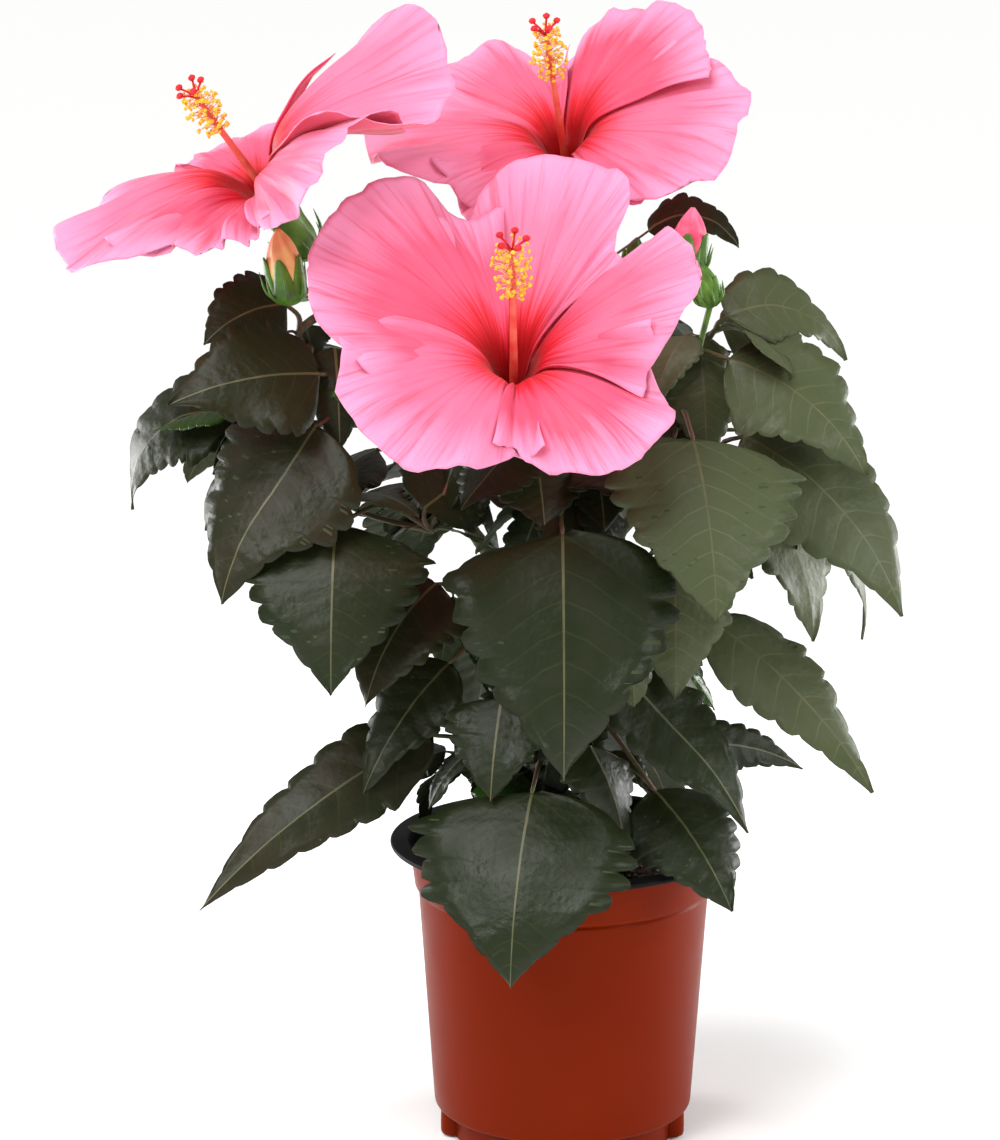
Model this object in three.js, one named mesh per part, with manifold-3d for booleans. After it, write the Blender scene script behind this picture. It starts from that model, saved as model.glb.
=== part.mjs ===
// A flowering hibiscus shrub in its round plastic pot.
//
// Units are millimetres, +Z is up, and the origin is the middle of the pot's flat underside.
// -Y is the front of the plant. The pot holds a plug of potting soil, a short leaning trunk forks
// into boughs, each bough carries one or two leafy shoots, and three boughs end in an open bloom.
import * as THREE from 'three';
import { mergeVertices } from 'three/addons/utils/BufferGeometryUtils.js';
import Module from 'manifold-3d';

const wasm = await Module();
wasm.setup();

// ---------------------------------------------------------------- driving dimensions

const GAP = 0.4;                     // clearance between pieces that touch
const UP = new THREE.Vector3(0, 0, 1);

const POT = {
  height: 113, lipRadius: 65, lipThickness: 2, collarRadius: 57.5, collarHeight: 18,
  topRadius: 54.4, ledgeRadius: 48.6, ledgeHeight: 10, ringRadius: 43.5, ringWidth: 5,
  padRadius: 22, groove: 3, floor: 6, wall: 1.8, feet: 5, footRadius: 4.5, segments: 32,
};
const SOIL = { top: 104, crown: 105, flatRadius: 13, unevenness: 0.8 };
const TRUNK = { foot: 9, neck: 5.2, tip: 4.2, flareHeight: 12, sides: 10 };
const BLADE = { thickness: 3.2, fold: 0.16 };
const BLOOM = {
  meridians: 30, tubeRadius: 3.6, tubeAngle: 14, petalThickness: 2.4,
  calyxRadius: 7.5, calyxLength: 24, columnRadius: 1.9, antherRadius: 6.5, stigmaRadius: 4.5,
};

// Leaf outline: half width as a share of the greatest, at each share of the blade's length.
const LEAF_OUTLINE = [[0, 0.07], [0.1, 0.64], [0.34, 1], [0.64, 0.7], [0.86, 0.28]];

// ---------------------------------------------------------------- materials

const finish = (color, roughness, metalness = 0) =>
  new THREE.MeshStandardMaterial({ color, roughness, metalness });

const terracottaPlastic = finish('#9a2f0c', 0.35);
const pottingSoil = finish('#2a1b14', 0.95);
const bark = finish('#4a4436', 0.8);
const darkLeaf = finish('#2c3424', 0.5);
const pinkPetal = finish('#f0739c', 0.6);
const redColumn = finish('#e2463f', 0.5);

// ---------------------------------------------------------------- small geometry tools

const radians = THREE.MathUtils.degToRad;
const smooth = (from, to, x) => THREE.MathUtils.smoothstep(x, from, to);

// Unit vector for a compass heading (0 is +X, 90 is +Y) and a rise above level, in degrees.
function direction(heading, rise) {
  const level = Math.cos(radians(rise));
  return new THREE.Vector3(
    level * Math.cos(radians(heading)), level * Math.sin(radians(heading)), Math.sin(radians(rise)));
}

const along = (point, unit, distance) => point.clone().addScaledVector(unit, distance);

// Closed surface through a row of cross-sections with the same number of points each, shut by a
// fan onto a point at either end.
function loft(sections, start, end) {
  const count = sections[0].length;
  const points = [start, ...sections.flat(), end];
  const last = points.length - 1;
  const faces = [];
  for (let i = 0; i < count; i += 1) {
    const next = (i + 1) % count;
    faces.push(0, 1 + next, 1 + i);
    for (let row = 0; row < sections.length - 1; row += 1) {
      const a = 1 + row * count + i;
      const b = 1 + row * count + next;
      faces.push(a, b, b + count, a, b + count, a + count);
    }
    faces.push(last, last - count + i, last - count + next);
  }
  const geometry = new THREE.BufferGeometry();
  geometry.setAttribute('position', new THREE.Float32BufferAttribute(
    points.flatMap((point) => point.toArray()), 3));
  geometry.setIndex(faces);
  return geometry;
}

function solidOf(geometry) {
  const shell = geometry.clone();
  shell.deleteAttribute('normal');
  shell.deleteAttribute('uv');
  const merged = mergeVertices(shell, 1e-4);
  const index = Uint32Array.from(merged.index.array);
  const vertProperties = Float32Array.from(merged.attributes.position.array);
  const make = (triVerts) =>
    new wasm.Manifold(new wasm.Mesh({ numProp: 3, vertProperties, triVerts }));
  const solid = make(index);
  if (solid.volume() > 0) return solid;
  for (let i = 0; i < index.length; i += 3) {
    [index[i + 1], index[i + 2]] = [index[i + 2], index[i + 1]];
  }
  return make(index);
}

function geometryOf(solid) {
  const mesh = solid.getMesh();
  const geometry = new THREE.BufferGeometry();
  geometry.setAttribute('position', new THREE.Float32BufferAttribute(mesh.vertProperties, 3));
  geometry.setIndex(Array.from(mesh.triVerts));
  geometry.computeVertexNormals();
  return geometry;
}

const joined = (solids) => solids.reduce((whole, solid) => whole.add(solid));

// The biggest of the bodies that a cut leaves.
function mainBody(solid) {
  const bodies = solid.decompose();
  return bodies.reduce((best, body) => (body.volume() > best.volume() ? body : best));
}

// Ring of points round a centre, square to a unit vector.
function ring(centre, unit, radius, sides) {
  const side = new THREE.Vector3().crossVectors(unit, Math.abs(unit.z) > 0.9
    ? new THREE.Vector3(0, 1, 0) : UP).normalize();
  const other = new THREE.Vector3().crossVectors(unit, side);
  return Array.from({ length: sides }, (_, i) => {
    const turn = (2 * Math.PI * i) / sides;
    return centre.clone()
      .addScaledVector(side, radius * Math.cos(turn))
      .addScaledVector(other, radius * Math.sin(turn));
  });
}

// Round tapering limb along a smooth curve through a few points.
function limb(points, radiusAt, steps, sides) {
  const curve = new THREE.CatmullRomCurve3(points);
  const sections = [];
  for (let i = 0; i <= steps; i += 1) {
    const t = i / steps;
    sections.push(ring(curve.getPointAt(t), curve.getTangentAt(t), radiusAt(t), sides));
  }
  return loft(sections, curve.getPointAt(0), curve.getPointAt(1));
}

// ---------------------------------------------------------------- pot and soil

// Outside of the wall between the ledge and the collar.
const wallRadius = (z) => THREE.MathUtils.mapLinear(
  z, POT.ledgeHeight, POT.height - POT.collarHeight, POT.ledgeRadius, POT.topRadius);

// Round body about the upright axis from a row of [radius, height] corners.
function turned(corners) {
  const lathe = new THREE.LatheGeometry(corners.map(([r, z]) => new THREE.Vector2(r, z)), POT.segments);
  lathe.rotateX(Math.PI / 2);
  return solidOf(lathe);
}

function potSolid() {
  const collarFoot = POT.height - POT.collarHeight;
  const lipUnder = POT.height - POT.lipThickness;
  const outside = [
    [0, 0], [POT.padRadius, 0], [POT.padRadius + 1.5, POT.groove],
    [POT.ringRadius - POT.ringWidth - 1.5, POT.groove], [POT.ringRadius - POT.ringWidth, 0],
    [POT.ringRadius, 0], [POT.ringRadius + 0.4, POT.ledgeHeight - 1],
    [POT.ledgeRadius, POT.ledgeHeight], [POT.topRadius, collarFoot - 1.4],
    [POT.topRadius - 0.6, collarFoot - 0.6], [POT.topRadius + 1.4, collarFoot + 0.4],
    [POT.collarRadius, lipUnder - 1.4], [POT.collarRadius + 0.8, lipUnder - 0.4],
    [POT.lipRadius - 0.5, lipUnder], [POT.lipRadius, lipUnder + 1],
    [POT.lipRadius - 0.6, POT.height], [0, POT.height],
  ];
  const cavity = [
    [0, POT.floor], [POT.ringRadius - 2, POT.floor],
    [POT.ledgeRadius - POT.wall, POT.ledgeHeight],
    [POT.topRadius - POT.wall, collarFoot - 1], [POT.collarRadius - POT.wall, lipUnder - 2],
    [POT.collarRadius + 0.6, POT.height + 0.4], [0, POT.height + 0.4],
  ];
  let solid = turned(outside);

  const step = (2 * Math.PI) / POT.feet;
  for (let i = 0; i < POT.feet; i += 1) {
    const footAngle = -Math.PI / 2 + i * step;
    const foot = new THREE.CylinderGeometry(POT.footRadius, POT.footRadius, POT.ledgeHeight, 10);
    foot.rotateX(Math.PI / 2);
    foot.translate(
      POT.ringRadius * Math.cos(footAngle), POT.ringRadius * Math.sin(footAngle),
      POT.ledgeHeight / 2 + 0.5);
    solid = solid.add(solidOf(foot));

    const slotAngle = footAngle + step / 2;
    const slot = new THREE.BoxGeometry(POT.ringWidth + 6, 6, 2 * POT.groove - 1.5);
    slot.rotateZ(slotAngle);
    slot.translate(
      (POT.ringRadius - 2) * Math.cos(slotAngle), (POT.ringRadius - 2) * Math.sin(slotAngle), 0);
    solid = solid.subtract(solidOf(slot));

    const drain = new THREE.CylinderGeometry(4, 4, 2 * POT.floor, 10);
    drain.rotateX(Math.PI / 2);
    const drainRadius = (POT.padRadius + POT.ringRadius - POT.ringWidth) / 2;
    drain.translate(drainRadius * Math.cos(slotAngle), drainRadius * Math.sin(slotAngle), POT.floor);
    solid = solid.subtract(solidOf(drain));
  }
  return solid.subtract(turned(cavity));
}

function soilSolid() {
  const inside = (z) => wallRadius(z) - POT.wall - GAP;
  const profile = [
    [0, POT.floor + GAP], [POT.ringRadius - POT.footRadius - 1, POT.floor + GAP],
    [POT.ringRadius - POT.footRadius - 1, POT.ledgeHeight + GAP],
    [inside(POT.ledgeHeight + 2), POT.ledgeHeight + 2],
    [inside(92) - 0.2, SOIL.top - 1], [42, SOIL.top], [27, SOIL.top + 0.5],
    [SOIL.flatRadius, SOIL.crown], [0, SOIL.crown],
  ].map(([r, z]) => new THREE.Vector2(r, z));
  const plug = new THREE.LatheGeometry(profile, POT.segments);
  plug.rotateX(Math.PI / 2);
  const place = plug.attributes.position;
  for (let i = 0; i < place.count; i += 1) {
    const x = place.getX(i);
    const y = place.getY(i);
    const lump = smooth(SOIL.flatRadius, SOIL.flatRadius + 8, Math.hypot(x, y));
    if (place.getZ(i) > SOIL.top - 2) {
      const swell = Math.sin(0.21 * x + 1.3) * Math.cos(0.17 * y) + 0.5 * Math.sin(0.33 * y + 0.2 * x);
      place.setZ(i, place.getZ(i) + SOIL.unevenness * lump * swell);
    }
  }
  return solidOf(plug);
}

// ---------------------------------------------------------------- trunk and boughs

const FORK = new THREE.Vector3(-15, 1, 176);
const trunkPath = [
  new THREE.Vector3(0, 0, SOIL.crown + GAP), new THREE.Vector3(-4, 0, 128), FORK,
];

function trunkSolid(grow) {
  const length = FORK.z - SOIL.crown;
  const radiusAt = (t) => {
    const flare = Math.exp((-t * length) / TRUNK.flareHeight);
    return THREE.MathUtils.lerp(TRUNK.neck, TRUNK.tip, t) + (TRUNK.foot - TRUNK.neck) * flare + grow;
  };
  return solidOf(limb(trunkPath, radiusAt, 8, TRUNK.sides));
}

// A bough leaves the trunk or another bough at `from`, bows by `bow` millimetres to the outside
// of its straight line, and ends at `to`.
const BOUGHS = {
  bough_left: { from: [-16, 1, 172], to: [-45, 0, 243], bow: -9, thick: 3.2, thin: 2.3 },
  bough_left_upper: { from: [-46, 3, 246], to: [-90, 10, 325], bow: -4, thick: 2.2, thin: 2 },
  bough_front: { from: [-15, -1, 178], to: [-11, -10, 222], bow: 3, thick: 3, thin: 2.3 },
  bough_front_upper: { from: [-12, -8, 228], to: [-18, -22, 258], bow: 2, thick: 2.6, thin: 2.3 },
  bough_back: { from: [-14, 4, 176], to: [-2, 34, 250], bow: 5, thick: 3.2, thin: 2.5 },
  bough_back_upper: { from: [-2, 34, 251], to: [4, 61, 329], bow: 4, thick: 2.7, thin: 2.3 },
  bough_right: { from: [-12, 2, 172], to: [32, 10, 240], bow: -6, thick: 3.2, thin: 2.3 },
  bough_rear_low: { from: [-5, 3, 140], to: [4, 26, 178], bow: 3, thick: 2.8, thin: 2.3 },
};

function boughSolid(bough, grow) {
  const from = new THREE.Vector3(...bough.from);
  const to = new THREE.Vector3(...bough.to);
  const line = to.clone().sub(from);
  const side = new THREE.Vector3().crossVectors(line, UP).cross(line).normalize();
  const middle = from.clone().lerp(to, 0.5).addScaledVector(side, -bough.bow);
  const radiusAt = (t) => THREE.MathUtils.lerp(bough.thick, bough.thin, t) + grow;
  return solidOf(limb([from, middle, to], radiusAt, 4, 7));
}

// ---------------------------------------------------------------- blooms

// A bloom sits at `base`, faces along `heading` and `rise`, and has five petals. A petal lies
// `around` the bloom (0 is its upper side, 90 its right side as the bloom is faced), is `reach`
// long, opens to `flare` degrees from the column, leans its right edge out by `twist` degrees and
// rolls back by `curl` degrees at its rim. `valley` is the depth of the notch after it, as a share
// of its reach.
const BLOOMS = {
  bloom_front: {
    base: [-18, -38, 283], heading: -90, rise: 55, column: 76,
    petals: [
      { around: -146, reach: 86, flare: 77, twist: -6, curl: 22, valley: 0.08 },
      { around: -69, reach: 95, flare: 55, twist: -7, curl: 12, valley: 0.3 },
      { around: 27, reach: 92, flare: 58, twist: 2, curl: 14, valley: 0.3 },
      { around: 72, reach: 86, flare: 57, twist: 8, curl: 10, valley: 0.28 },
      { around: 140, reach: 80, flare: 84, twist: 4, curl: 22, valley: 0.4 },
    ],
  },
  bloom_left: {
    base: [-103, -4, 347], heading: 226, rise: 48, column: 62,
    petals: [
      { around: -122, reach: 91, flare: 86, twist: 8, curl: 18, valley: 0.3 },
      { around: -76, reach: 52, flare: 84, twist: 6, curl: 20, valley: 0.72 },
      { around: 50, reach: 100, flare: 92, twist: 10, curl: 4, valley: 0.04 },
      { around: 105, reach: 84, flare: 70, twist: 10, curl: 20, valley: 0.2 },
      { around: 156, reach: 50, flare: 74, twist: 6, curl: 20, valley: 0.2 },
    ],
  },
  bloom_back: {
    base: [1, 51, 354], heading: -106, rise: 60, column: 70,
    petals: [
      { around: -108, reach: 86, flare: 80, twist: 6, curl: 16, valley: 0.2 },
      { around: -52, reach: 80, flare: 84, twist: 0, curl: 14, valley: 0.42 },
      { around: 18, reach: 84, flare: 74, twist: -8, curl: 12, valley: 0.08 },
      { around: 104, reach: 88, flare: 82, twist: 8, curl: 14, valley: 0.25 },
      { around: 176, reach: 72, flare: 88, twist: 0, curl: 18, valley: 0.2 },
    ],
  },
};

const FULL_TURN = 360;
const PETAL_STATIONS = [0.12, 0.3, 0.52, 0.8];

// Shape of the corolla at one angle round the bloom, blended from the two nearest petals.
function petalShape(petals, angle) {
  const count = petals.length;
  const start = petals[0].around;
  const turned = start + THREE.MathUtils.euclideanModulo(angle - start, FULL_TURN);
  let i = count - 1;
  while (petals[i].around > turned) i -= 1;
  const left = petals[i];
  const right = petals[(i + 1) % count];
  const spread = THREE.MathUtils.euclideanModulo(right.around - left.around, FULL_TURN);
  const t = (turned - left.around) / spread;
  const blend = smooth(0.3, 0.7, t);
  const pick = (key) => THREE.MathUtils.lerp(left[key], right[key], blend);
  const leftLean = left.twist * Math.min(1, 2 * t);
  const rightLean = right.twist * -Math.min(1, 2 * (1 - t));
  const valley = (1 - Math.abs(2 * t - 1)) ** 3;
  return {
    reach: pick('reach') * (1 - left.valley * valley),
    flare: pick('flare') + THREE.MathUtils.lerp(leftLean, rightLean, blend),
    curl: pick('curl'),
  };
}

// Points along one petal's middle line, each with its distance out from the axis, its height
// along it and its slope.
function petalProfile({ reach, flare, curl }) {
  const steps = 50;
  const points = [];
  let out = BLOOM.tubeRadius;
  let up = 0;
  let station = 0;
  for (let i = 0; i < steps; i += 1) {
    const share = (i + 0.5) / steps;
    const opening = smooth(0.08, 0.5, share);
    const slope = radians(BLOOM.tubeAngle + (flare - BLOOM.tubeAngle) * opening + curl * share ** 3);
    out += (Math.sin(slope) * reach) / steps;
    up += (Math.cos(slope) * reach) / steps;
    const atStation = station < PETAL_STATIONS.length && (i + 1) / steps >= PETAL_STATIONS[station];
    if (atStation || i === steps - 1) {
      points.push({ out, up, slope });
      station += 1;
    }
  }
  return points;
}

function bloomFrame(bloom) {
  const axis = direction(bloom.heading, bloom.rise);
  const upper = UP.clone().addScaledVector(axis, -axis.z).normalize();
  const right = new THREE.Vector3().crossVectors(upper, axis);
  return { base: new THREE.Vector3(...bloom.base), axis, upper, right };
}

// Calyx and corolla in one closed funnel: up the outside from the stalk to the rim, and down the
// inside to the foot of the column.
function corollaSolid(bloom, grow) {
  const { base, axis, upper, right } = bloomFrame(bloom);
  const half = BLOOM.petalThickness / 2 + grow;
  const sections = [];
  for (let i = 0; i < BLOOM.meridians; i += 1) {
    const angle = (i * FULL_TURN) / BLOOM.meridians;
    const outward = upper.clone().multiplyScalar(Math.cos(radians(angle)))
      .addScaledVector(right, Math.sin(radians(angle)));
    const at = (out, up) => along(along(base, axis, up), outward, out);
    const profile = petalProfile(petalShape(bloom.petals, angle));
    const rim = profile.pop();
    const outside = profile.map(({ out, up, slope }) =>
      at(out + half * Math.cos(slope), up - half * Math.sin(slope)));
    const inside = profile.map(({ out, up, slope }) =>
      at(out - half * Math.cos(slope), up + half * Math.sin(slope)));
    sections.push([
      at(BLOOM.calyxRadius * 0.55 + grow, -BLOOM.calyxLength * 0.92 - grow),
      at(BLOOM.calyxRadius + grow, -BLOOM.calyxLength * 0.45),
      at(BLOOM.calyxRadius * 0.85 + grow, 2),
      ...outside, at(rim.out + grow, rim.up), ...inside.reverse(),
      at(BLOOM.columnRadius + 1, 1),
    ]);
  }
  const rows = sections[0].map((_, row) => sections.map((section) => section[row]));
  return solidOf(loft(
    rows, along(base, axis, -BLOOM.calyxLength - grow), along(base, axis, 1)));
}

// Staminal column: a slim stalk, the swollen brush of anthers and the spread stigma pads.
function columnSolid(bloom, grow) {
  const { base, axis } = bloomFrame(bloom);
  const outline = [
    [0, BLOOM.columnRadius], [0.5, BLOOM.columnRadius * 0.9], [0.56, BLOOM.antherRadius * 0.8],
    [0.72, BLOOM.antherRadius], [0.86, BLOOM.antherRadius * 0.85], [0.91, BLOOM.columnRadius],
    [0.95, BLOOM.stigmaRadius], [1, BLOOM.stigmaRadius * 0.8],
  ];
  const foot = 1 + GAP;
  const sections = outline.map(([share, radius]) =>
    ring(along(base, axis, foot + share * (bloom.column - foot)), axis, radius + grow, 7));
  return solidOf(loft(sections, along(base, axis, foot), along(base, axis, bloom.column)));
}

// ---------------------------------------------------------------- leafy shoots

// A leaf leaves its shoot at the share `at` of its length on a `stalk` [heading, rise, length].
// Its `blade` [heading, dip, length] arches down by `bend` degrees about that dip, is `width`
// across, and is turned about its midrib by `roll` degrees.
const leaf = (at, stalk, blade, width, bend, roll = 0) => ({ at, stalk, blade, width, bend, roll });

// Leaves that spread from a shoot on like stalks, one for each heading.
const fan = (headings, stalk, [dip, length], width) => headings.map((heading, i) =>
  leaf(1 - 0.25 * i, [heading, 20, stalk], [heading, dip - 4 * i, length], width, 50));

const SHOOTS = {
  shoot_left_top: {
    from: [-86, 5, 266], heading: -154, rise: 73, length: 39,
    leaves: [
      leaf(0.9, [-137, 62, 17], [-152, -22, 36], 32, 50, -50),
      leaf(0.45, [-84, 16, 32], [-159, -9, 57], 44, 30, -50),
      leaf(0.75, [100, 10, 20], [120, -30, 60], 40, 60, 0),
    ],
  },
  shoot_left: {
    from: [-46, -3, 243], heading: -170, rise: 42, length: 40,
    leaves: [
      leaf(0.6, [169, 12, 61], [165, -42, 66], 38, 115, -45),
      leaf(0.8, [174, 9, 37], [155, -20, 38], 26, 40, -50),
      leaf(0.5, [-136, 20, 36], [-147, -52, 73], 52, 50, -35),
      leaf(0.9, [-105, 27, 16], [-150, -38, 31], 30, 40, -40),
      leaf(1, [-120, 68, 22], [-49, -43, 30], 20, 50),
    ],
  },
  shoot_left_low: {
    from: [-29, -5, 214], heading: -155, rise: 43, length: 32,
    leaves: [
      leaf(0.9, [-145, 8, 42], [-90, -62, 66], 60, 60),
      leaf(0.8, [-166, 19, 40], [-40, -1, 42], 28, 60),
      leaf(0.95, [-120, 56, 7], [44, 25, 37], 32, 20, 40),
    ],
  },
  shoot_inner_left: {
    from: [-22, -5, 189], heading: -156, rise: 44, length: 24,
    leaves: [
      leaf(0.9, [-122, 31, 23], [-133, -48, 55], 38, 50, -30),
      leaf(0.3, [-140, -26, 22], [-146, -50, 58], 28, 30, -30),
    ],
  },
  skirt_left: {
    from: [-13, 0, 127], heading: -160, rise: 36, length: 29,
    leaves: [
      leaf(0.9, [-139, 36, 27], [-153, -31, 107], 30, 25, -50),
      leaf(0.8, [151, -6, 20], [165, -5, 34], 18, 30, 0),
    ],
  },
  skirt_front: {
    from: [-7, -5, 128], heading: -101, rise: 57, length: 17,
    leaves: [
      leaf(0.9, [-94, 6, 39], [-102, -61, 73], 73, 50),
      leaf(0.7, [-116, 50, 50], [-104, -66, 38], 34, 30),
      leaf(0.8, [-52, 32, 34], [-46, -63, 41], 29, 40),
    ],
  },
  shoot_front: {
    from: [-9, -8, 220], heading: -70, rise: 50, length: 33,
    leaves: [
      leaf(0.8, [-86, 1, 38], [-88, -74, 88], 70, 45),
      leaf(0.9, [-124, 58, 27], [-79, -52, 33], 34, 40),
      leaf(1, [-17, 46, 20], [-80, -52, 27], 24, 30),
      leaf(1, [-150, 50, 24], [-130, -25, 36], 34, 40),
      leaf(1, [-20, 50, 22], [-50, -25, 38], 34, 40),
    ],
  },
  shoot_right_top: {
    from: [37, 12, 276], heading: -35, rise: 54, length: 36,
    leaves: [
      leaf(0.9, [-45, 42, 12], [19, -21, 56], 28, 95, 45),
      leaf(0.7, [51, 26, 16], [21, -24, 47], 26, 50, 50),
      leaf(0.6, [-66, 6, 28], [-18, -38, 66], 42, 50, 40),
    ],
  },
  shoot_right: {
    from: [27, 0, 248], heading: -34, rise: 53, length: 35,
    leaves: [
      leaf(0.9, [-86, -2, 37], [-78, -59, 70], 62, 50),
      leaf(0.95, [84, 45, 16], [67, -62, 24], 18, 30),
    ],
  },
  shoot_right_low: {
    from: [28, 10, 217], heading: -3, rise: 43, length: 50,
    leaves: [
      leaf(0.9, [-81, 39, 34], [-19, -46, 89], 50, 50, 40),
      leaf(0.8, [11, -10, 18], [-30, -68, 58], 40, 50, 10),
      leaf(1, [25, -28, 36], [30, -64, 62], 22, 80, 40),
      leaf(0.3, [-68, -34, 45], [-25, -42, 86], 31, 30, 40),
    ],
  },
  shoot_inner_right: {
    from: [-2, -5, 189], heading: -14, rise: 39, length: 38,
    leaves: [
      leaf(0.9, [-51, 34, 32], [-90, -72, 54], 40, 40),
      leaf(0.6, [28, -38, 25], [14, -56, 38], 22, 30, 30),
      leaf(0.9, [-93, -1, 24], [-75, -70, 40], 24, 30),
    ],
  },
  skirt_right: {
    from: [-5, -3, 159], heading: -31, rise: 34, length: 26,
    leaves: [
      leaf(0.9, [-79, 22, 30], [-24, -43, 75], 32, 40, 40),
      leaf(0.7, [-40, -41, 44], [-48, -42, 55], 40, 30, 20),
      leaf(0.6, [32, -27, 51], [17, -14, 52], 19, 40, 60),
    ],
  },
  shoot_rear_left: {
    from: [-22, 14, 222], heading: 150, rise: 38, length: 45,
    leaves: fan([205, 165, 120], 22, [-42, 66], 48),
  },
  shoot_rear_right: {
    from: [14, 22, 228], heading: 30, rise: 38, length: 45,
    leaves: fan([-10, 35, 80], 22, [-42, 66], 48),
  },
  shoot_rear: {
    from: [-1, 40, 240], heading: 92, rise: 36, length: 26,
    leaves: fan([50, 95, 140], 20, [-50, 72], 52),
  },
  shoot_rear_high: {
    from: [2, 52, 288], heading: 88, rise: 50, length: 26,
    leaves: fan([30, 90, 150], 18, [-40, 58], 42),
  },
  shoot_rear_low: {
    from: [4, 28, 180], heading: 90, rise: 34, length: 26,
    leaves: fan([40, 88, 135], 22, [-52, 74], 54),
  },
  skirt_rear: {
    from: [3, 5, 124], heading: 88, rise: 44, length: 20,
    leaves: fan([55, 110], 26, [-46, 66], 48),
  },
};

const midribAt = (start, [heading, dip, length], bend, share) => {
  const steps = 12;
  const point = start.clone();
  let tangent = direction(heading, dip + bend / 2);
  for (let i = 0; i < steps; i += 1) {
    const t = ((i + 0.5) * share) / steps;
    tangent = direction(heading, dip + bend * (0.5 - t));
    point.addScaledVector(tangent, (length * share) / steps);
  }
  return { point, tangent: direction(heading, dip + bend * (0.5 - share)) };
};

// A leaf as a thin pad: a fine stalk, then a blade whose sections run left edge, top of the
// midrib, right edge, underside, and which ends in one point at the leaf's tip. The first
// section is mitred between the stalk and the blade.
function leafSolid(origin, { stalk, blade, width, bend, roll }, grow) {
  const base = along(origin, direction(stalk[0], stalk[1]), stalk[2]);
  const level = direction(blade[0] + 90, 0);
  const half = BLADE.thickness / 2 + grow;
  const sections = LEAF_OUTLINE.map(([share, spread], index) => {
    const { point, tangent } = midribAt(base, blade, bend, share);
    if (index === 0) {
      tangent.add(direction(stalk[0], stalk[1])).normalize();
    }
    const side = level.clone().addScaledVector(tangent, -level.dot(tangent)).normalize();
    side.applyAxisAngle(tangent, radians(roll));
    const face = new THREE.Vector3().crossVectors(tangent, side);
    const reach = (width / 2) * spread + grow;
    const fall = reach * BLADE.fold;
    return [
      along(along(point, side, reach), face, -fall), along(point, face, half),
      along(along(point, side, -reach), face, -fall), along(point, face, -half),
    ];
  });
  const { point: tip, tangent } = midribAt(base, blade, bend, 1);
  return solidOf(loft(sections, origin, along(tip, tangent, grow)));
}

function shootSolid(shoot, grow) {
  const from = new THREE.Vector3(...shoot.from);
  const run = direction(shoot.heading, shoot.rise);
  const stem = limb([from, along(from, run, shoot.length)], (t) => 1.9 - 0.6 * t + grow, 1, 7);
  const leaves = shoot.leaves.map((one) =>
    leafSolid(along(from, run, one.at * shoot.length * 0.96), one, grow));
  return joined([solidOf(stem), ...leaves]);
}

// ---------------------------------------------------------------- the plant, piece by piece

const pieces = [
  { name: 'pot', material: terracottaPlastic, build: potSolid, clear: true },
  { name: 'soil', material: pottingSoil, build: soilSolid, clear: true },
  { name: 'trunk', material: bark, build: trunkSolid },
];
for (const [name, bough] of Object.entries(BOUGHS)) {
  pieces.push({ name, material: bark, build: (grow) => boughSolid(bough, grow) });
}
for (const [name, bloom] of Object.entries(BLOOMS)) {
  pieces.push({ name, material: pinkPetal, build: (grow) => corollaSolid(bloom, grow) });
}
for (const [name, bloom] of Object.entries(BLOOMS)) {
  pieces.push({
    name: name.replace('bloom', 'column'), material: redColumn,
    build: (grow) => columnSolid(bloom, grow),
  });
}
for (const [name, shoot] of Object.entries(SHOOTS)) {
  pieces.push({ name, material: darkLeaf, build: (grow) => shootSolid(shoot, grow) });
}

const shrub = new THREE.Group();
const built = [];
for (const { name, material, build, clear } of pieces) {
  let solid = build(0);
  for (const earlier of built) {
    if (!clear && solid.intersect(earlier.grown).volume() > 0) {
      solid = mainBody(solid.subtract(earlier.grown));
    }
  }
  built.push({ name, grown: clear ? solid : build(GAP) });
  const mesh = new THREE.Mesh(geometryOf(solid), material);
  mesh.name = name;
  shrub.add(mesh);
}

export default shrub;
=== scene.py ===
"""Looks of a flowering hibiscus in its plastic pot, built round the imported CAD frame.

Lengths inside the makers are metres. The frame gives where every limb, leaf and bloom goes.
"""

import math
import random

import bpy
from mathutils import Matrix, Vector, noise


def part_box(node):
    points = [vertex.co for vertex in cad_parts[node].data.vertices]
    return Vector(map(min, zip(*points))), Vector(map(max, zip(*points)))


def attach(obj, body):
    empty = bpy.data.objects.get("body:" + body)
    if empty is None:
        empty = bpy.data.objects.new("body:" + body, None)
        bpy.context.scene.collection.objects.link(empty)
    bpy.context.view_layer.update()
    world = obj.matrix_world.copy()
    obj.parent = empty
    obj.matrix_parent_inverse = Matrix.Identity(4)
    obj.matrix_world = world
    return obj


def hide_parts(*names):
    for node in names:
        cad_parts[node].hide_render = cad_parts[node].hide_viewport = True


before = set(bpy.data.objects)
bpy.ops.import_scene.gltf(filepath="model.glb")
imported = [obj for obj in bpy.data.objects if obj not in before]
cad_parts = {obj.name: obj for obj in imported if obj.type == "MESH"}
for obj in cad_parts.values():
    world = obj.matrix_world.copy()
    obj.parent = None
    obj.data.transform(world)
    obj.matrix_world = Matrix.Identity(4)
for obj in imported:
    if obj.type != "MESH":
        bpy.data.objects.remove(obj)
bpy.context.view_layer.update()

MM = 0.001
UP = Vector((0, 0, 1))
NODES = sorted(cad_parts)
SHOOTS = [name for name in NODES if name.startswith(("shoot", "skirt"))]
LIMBS = ["trunk"] + [name for name in NODES if name.startswith("bough")]

bl_info = {
    "name": "Potted hibiscus",
    "version": (1, 0, 0),
    "blender": (4, 5, 0),
    "location": "View3D > Sidebar > Hibiscus",
    "description": "Builds a flowering hibiscus in its pot round a packed frame",
    "category": "Add Mesh",
}


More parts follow.
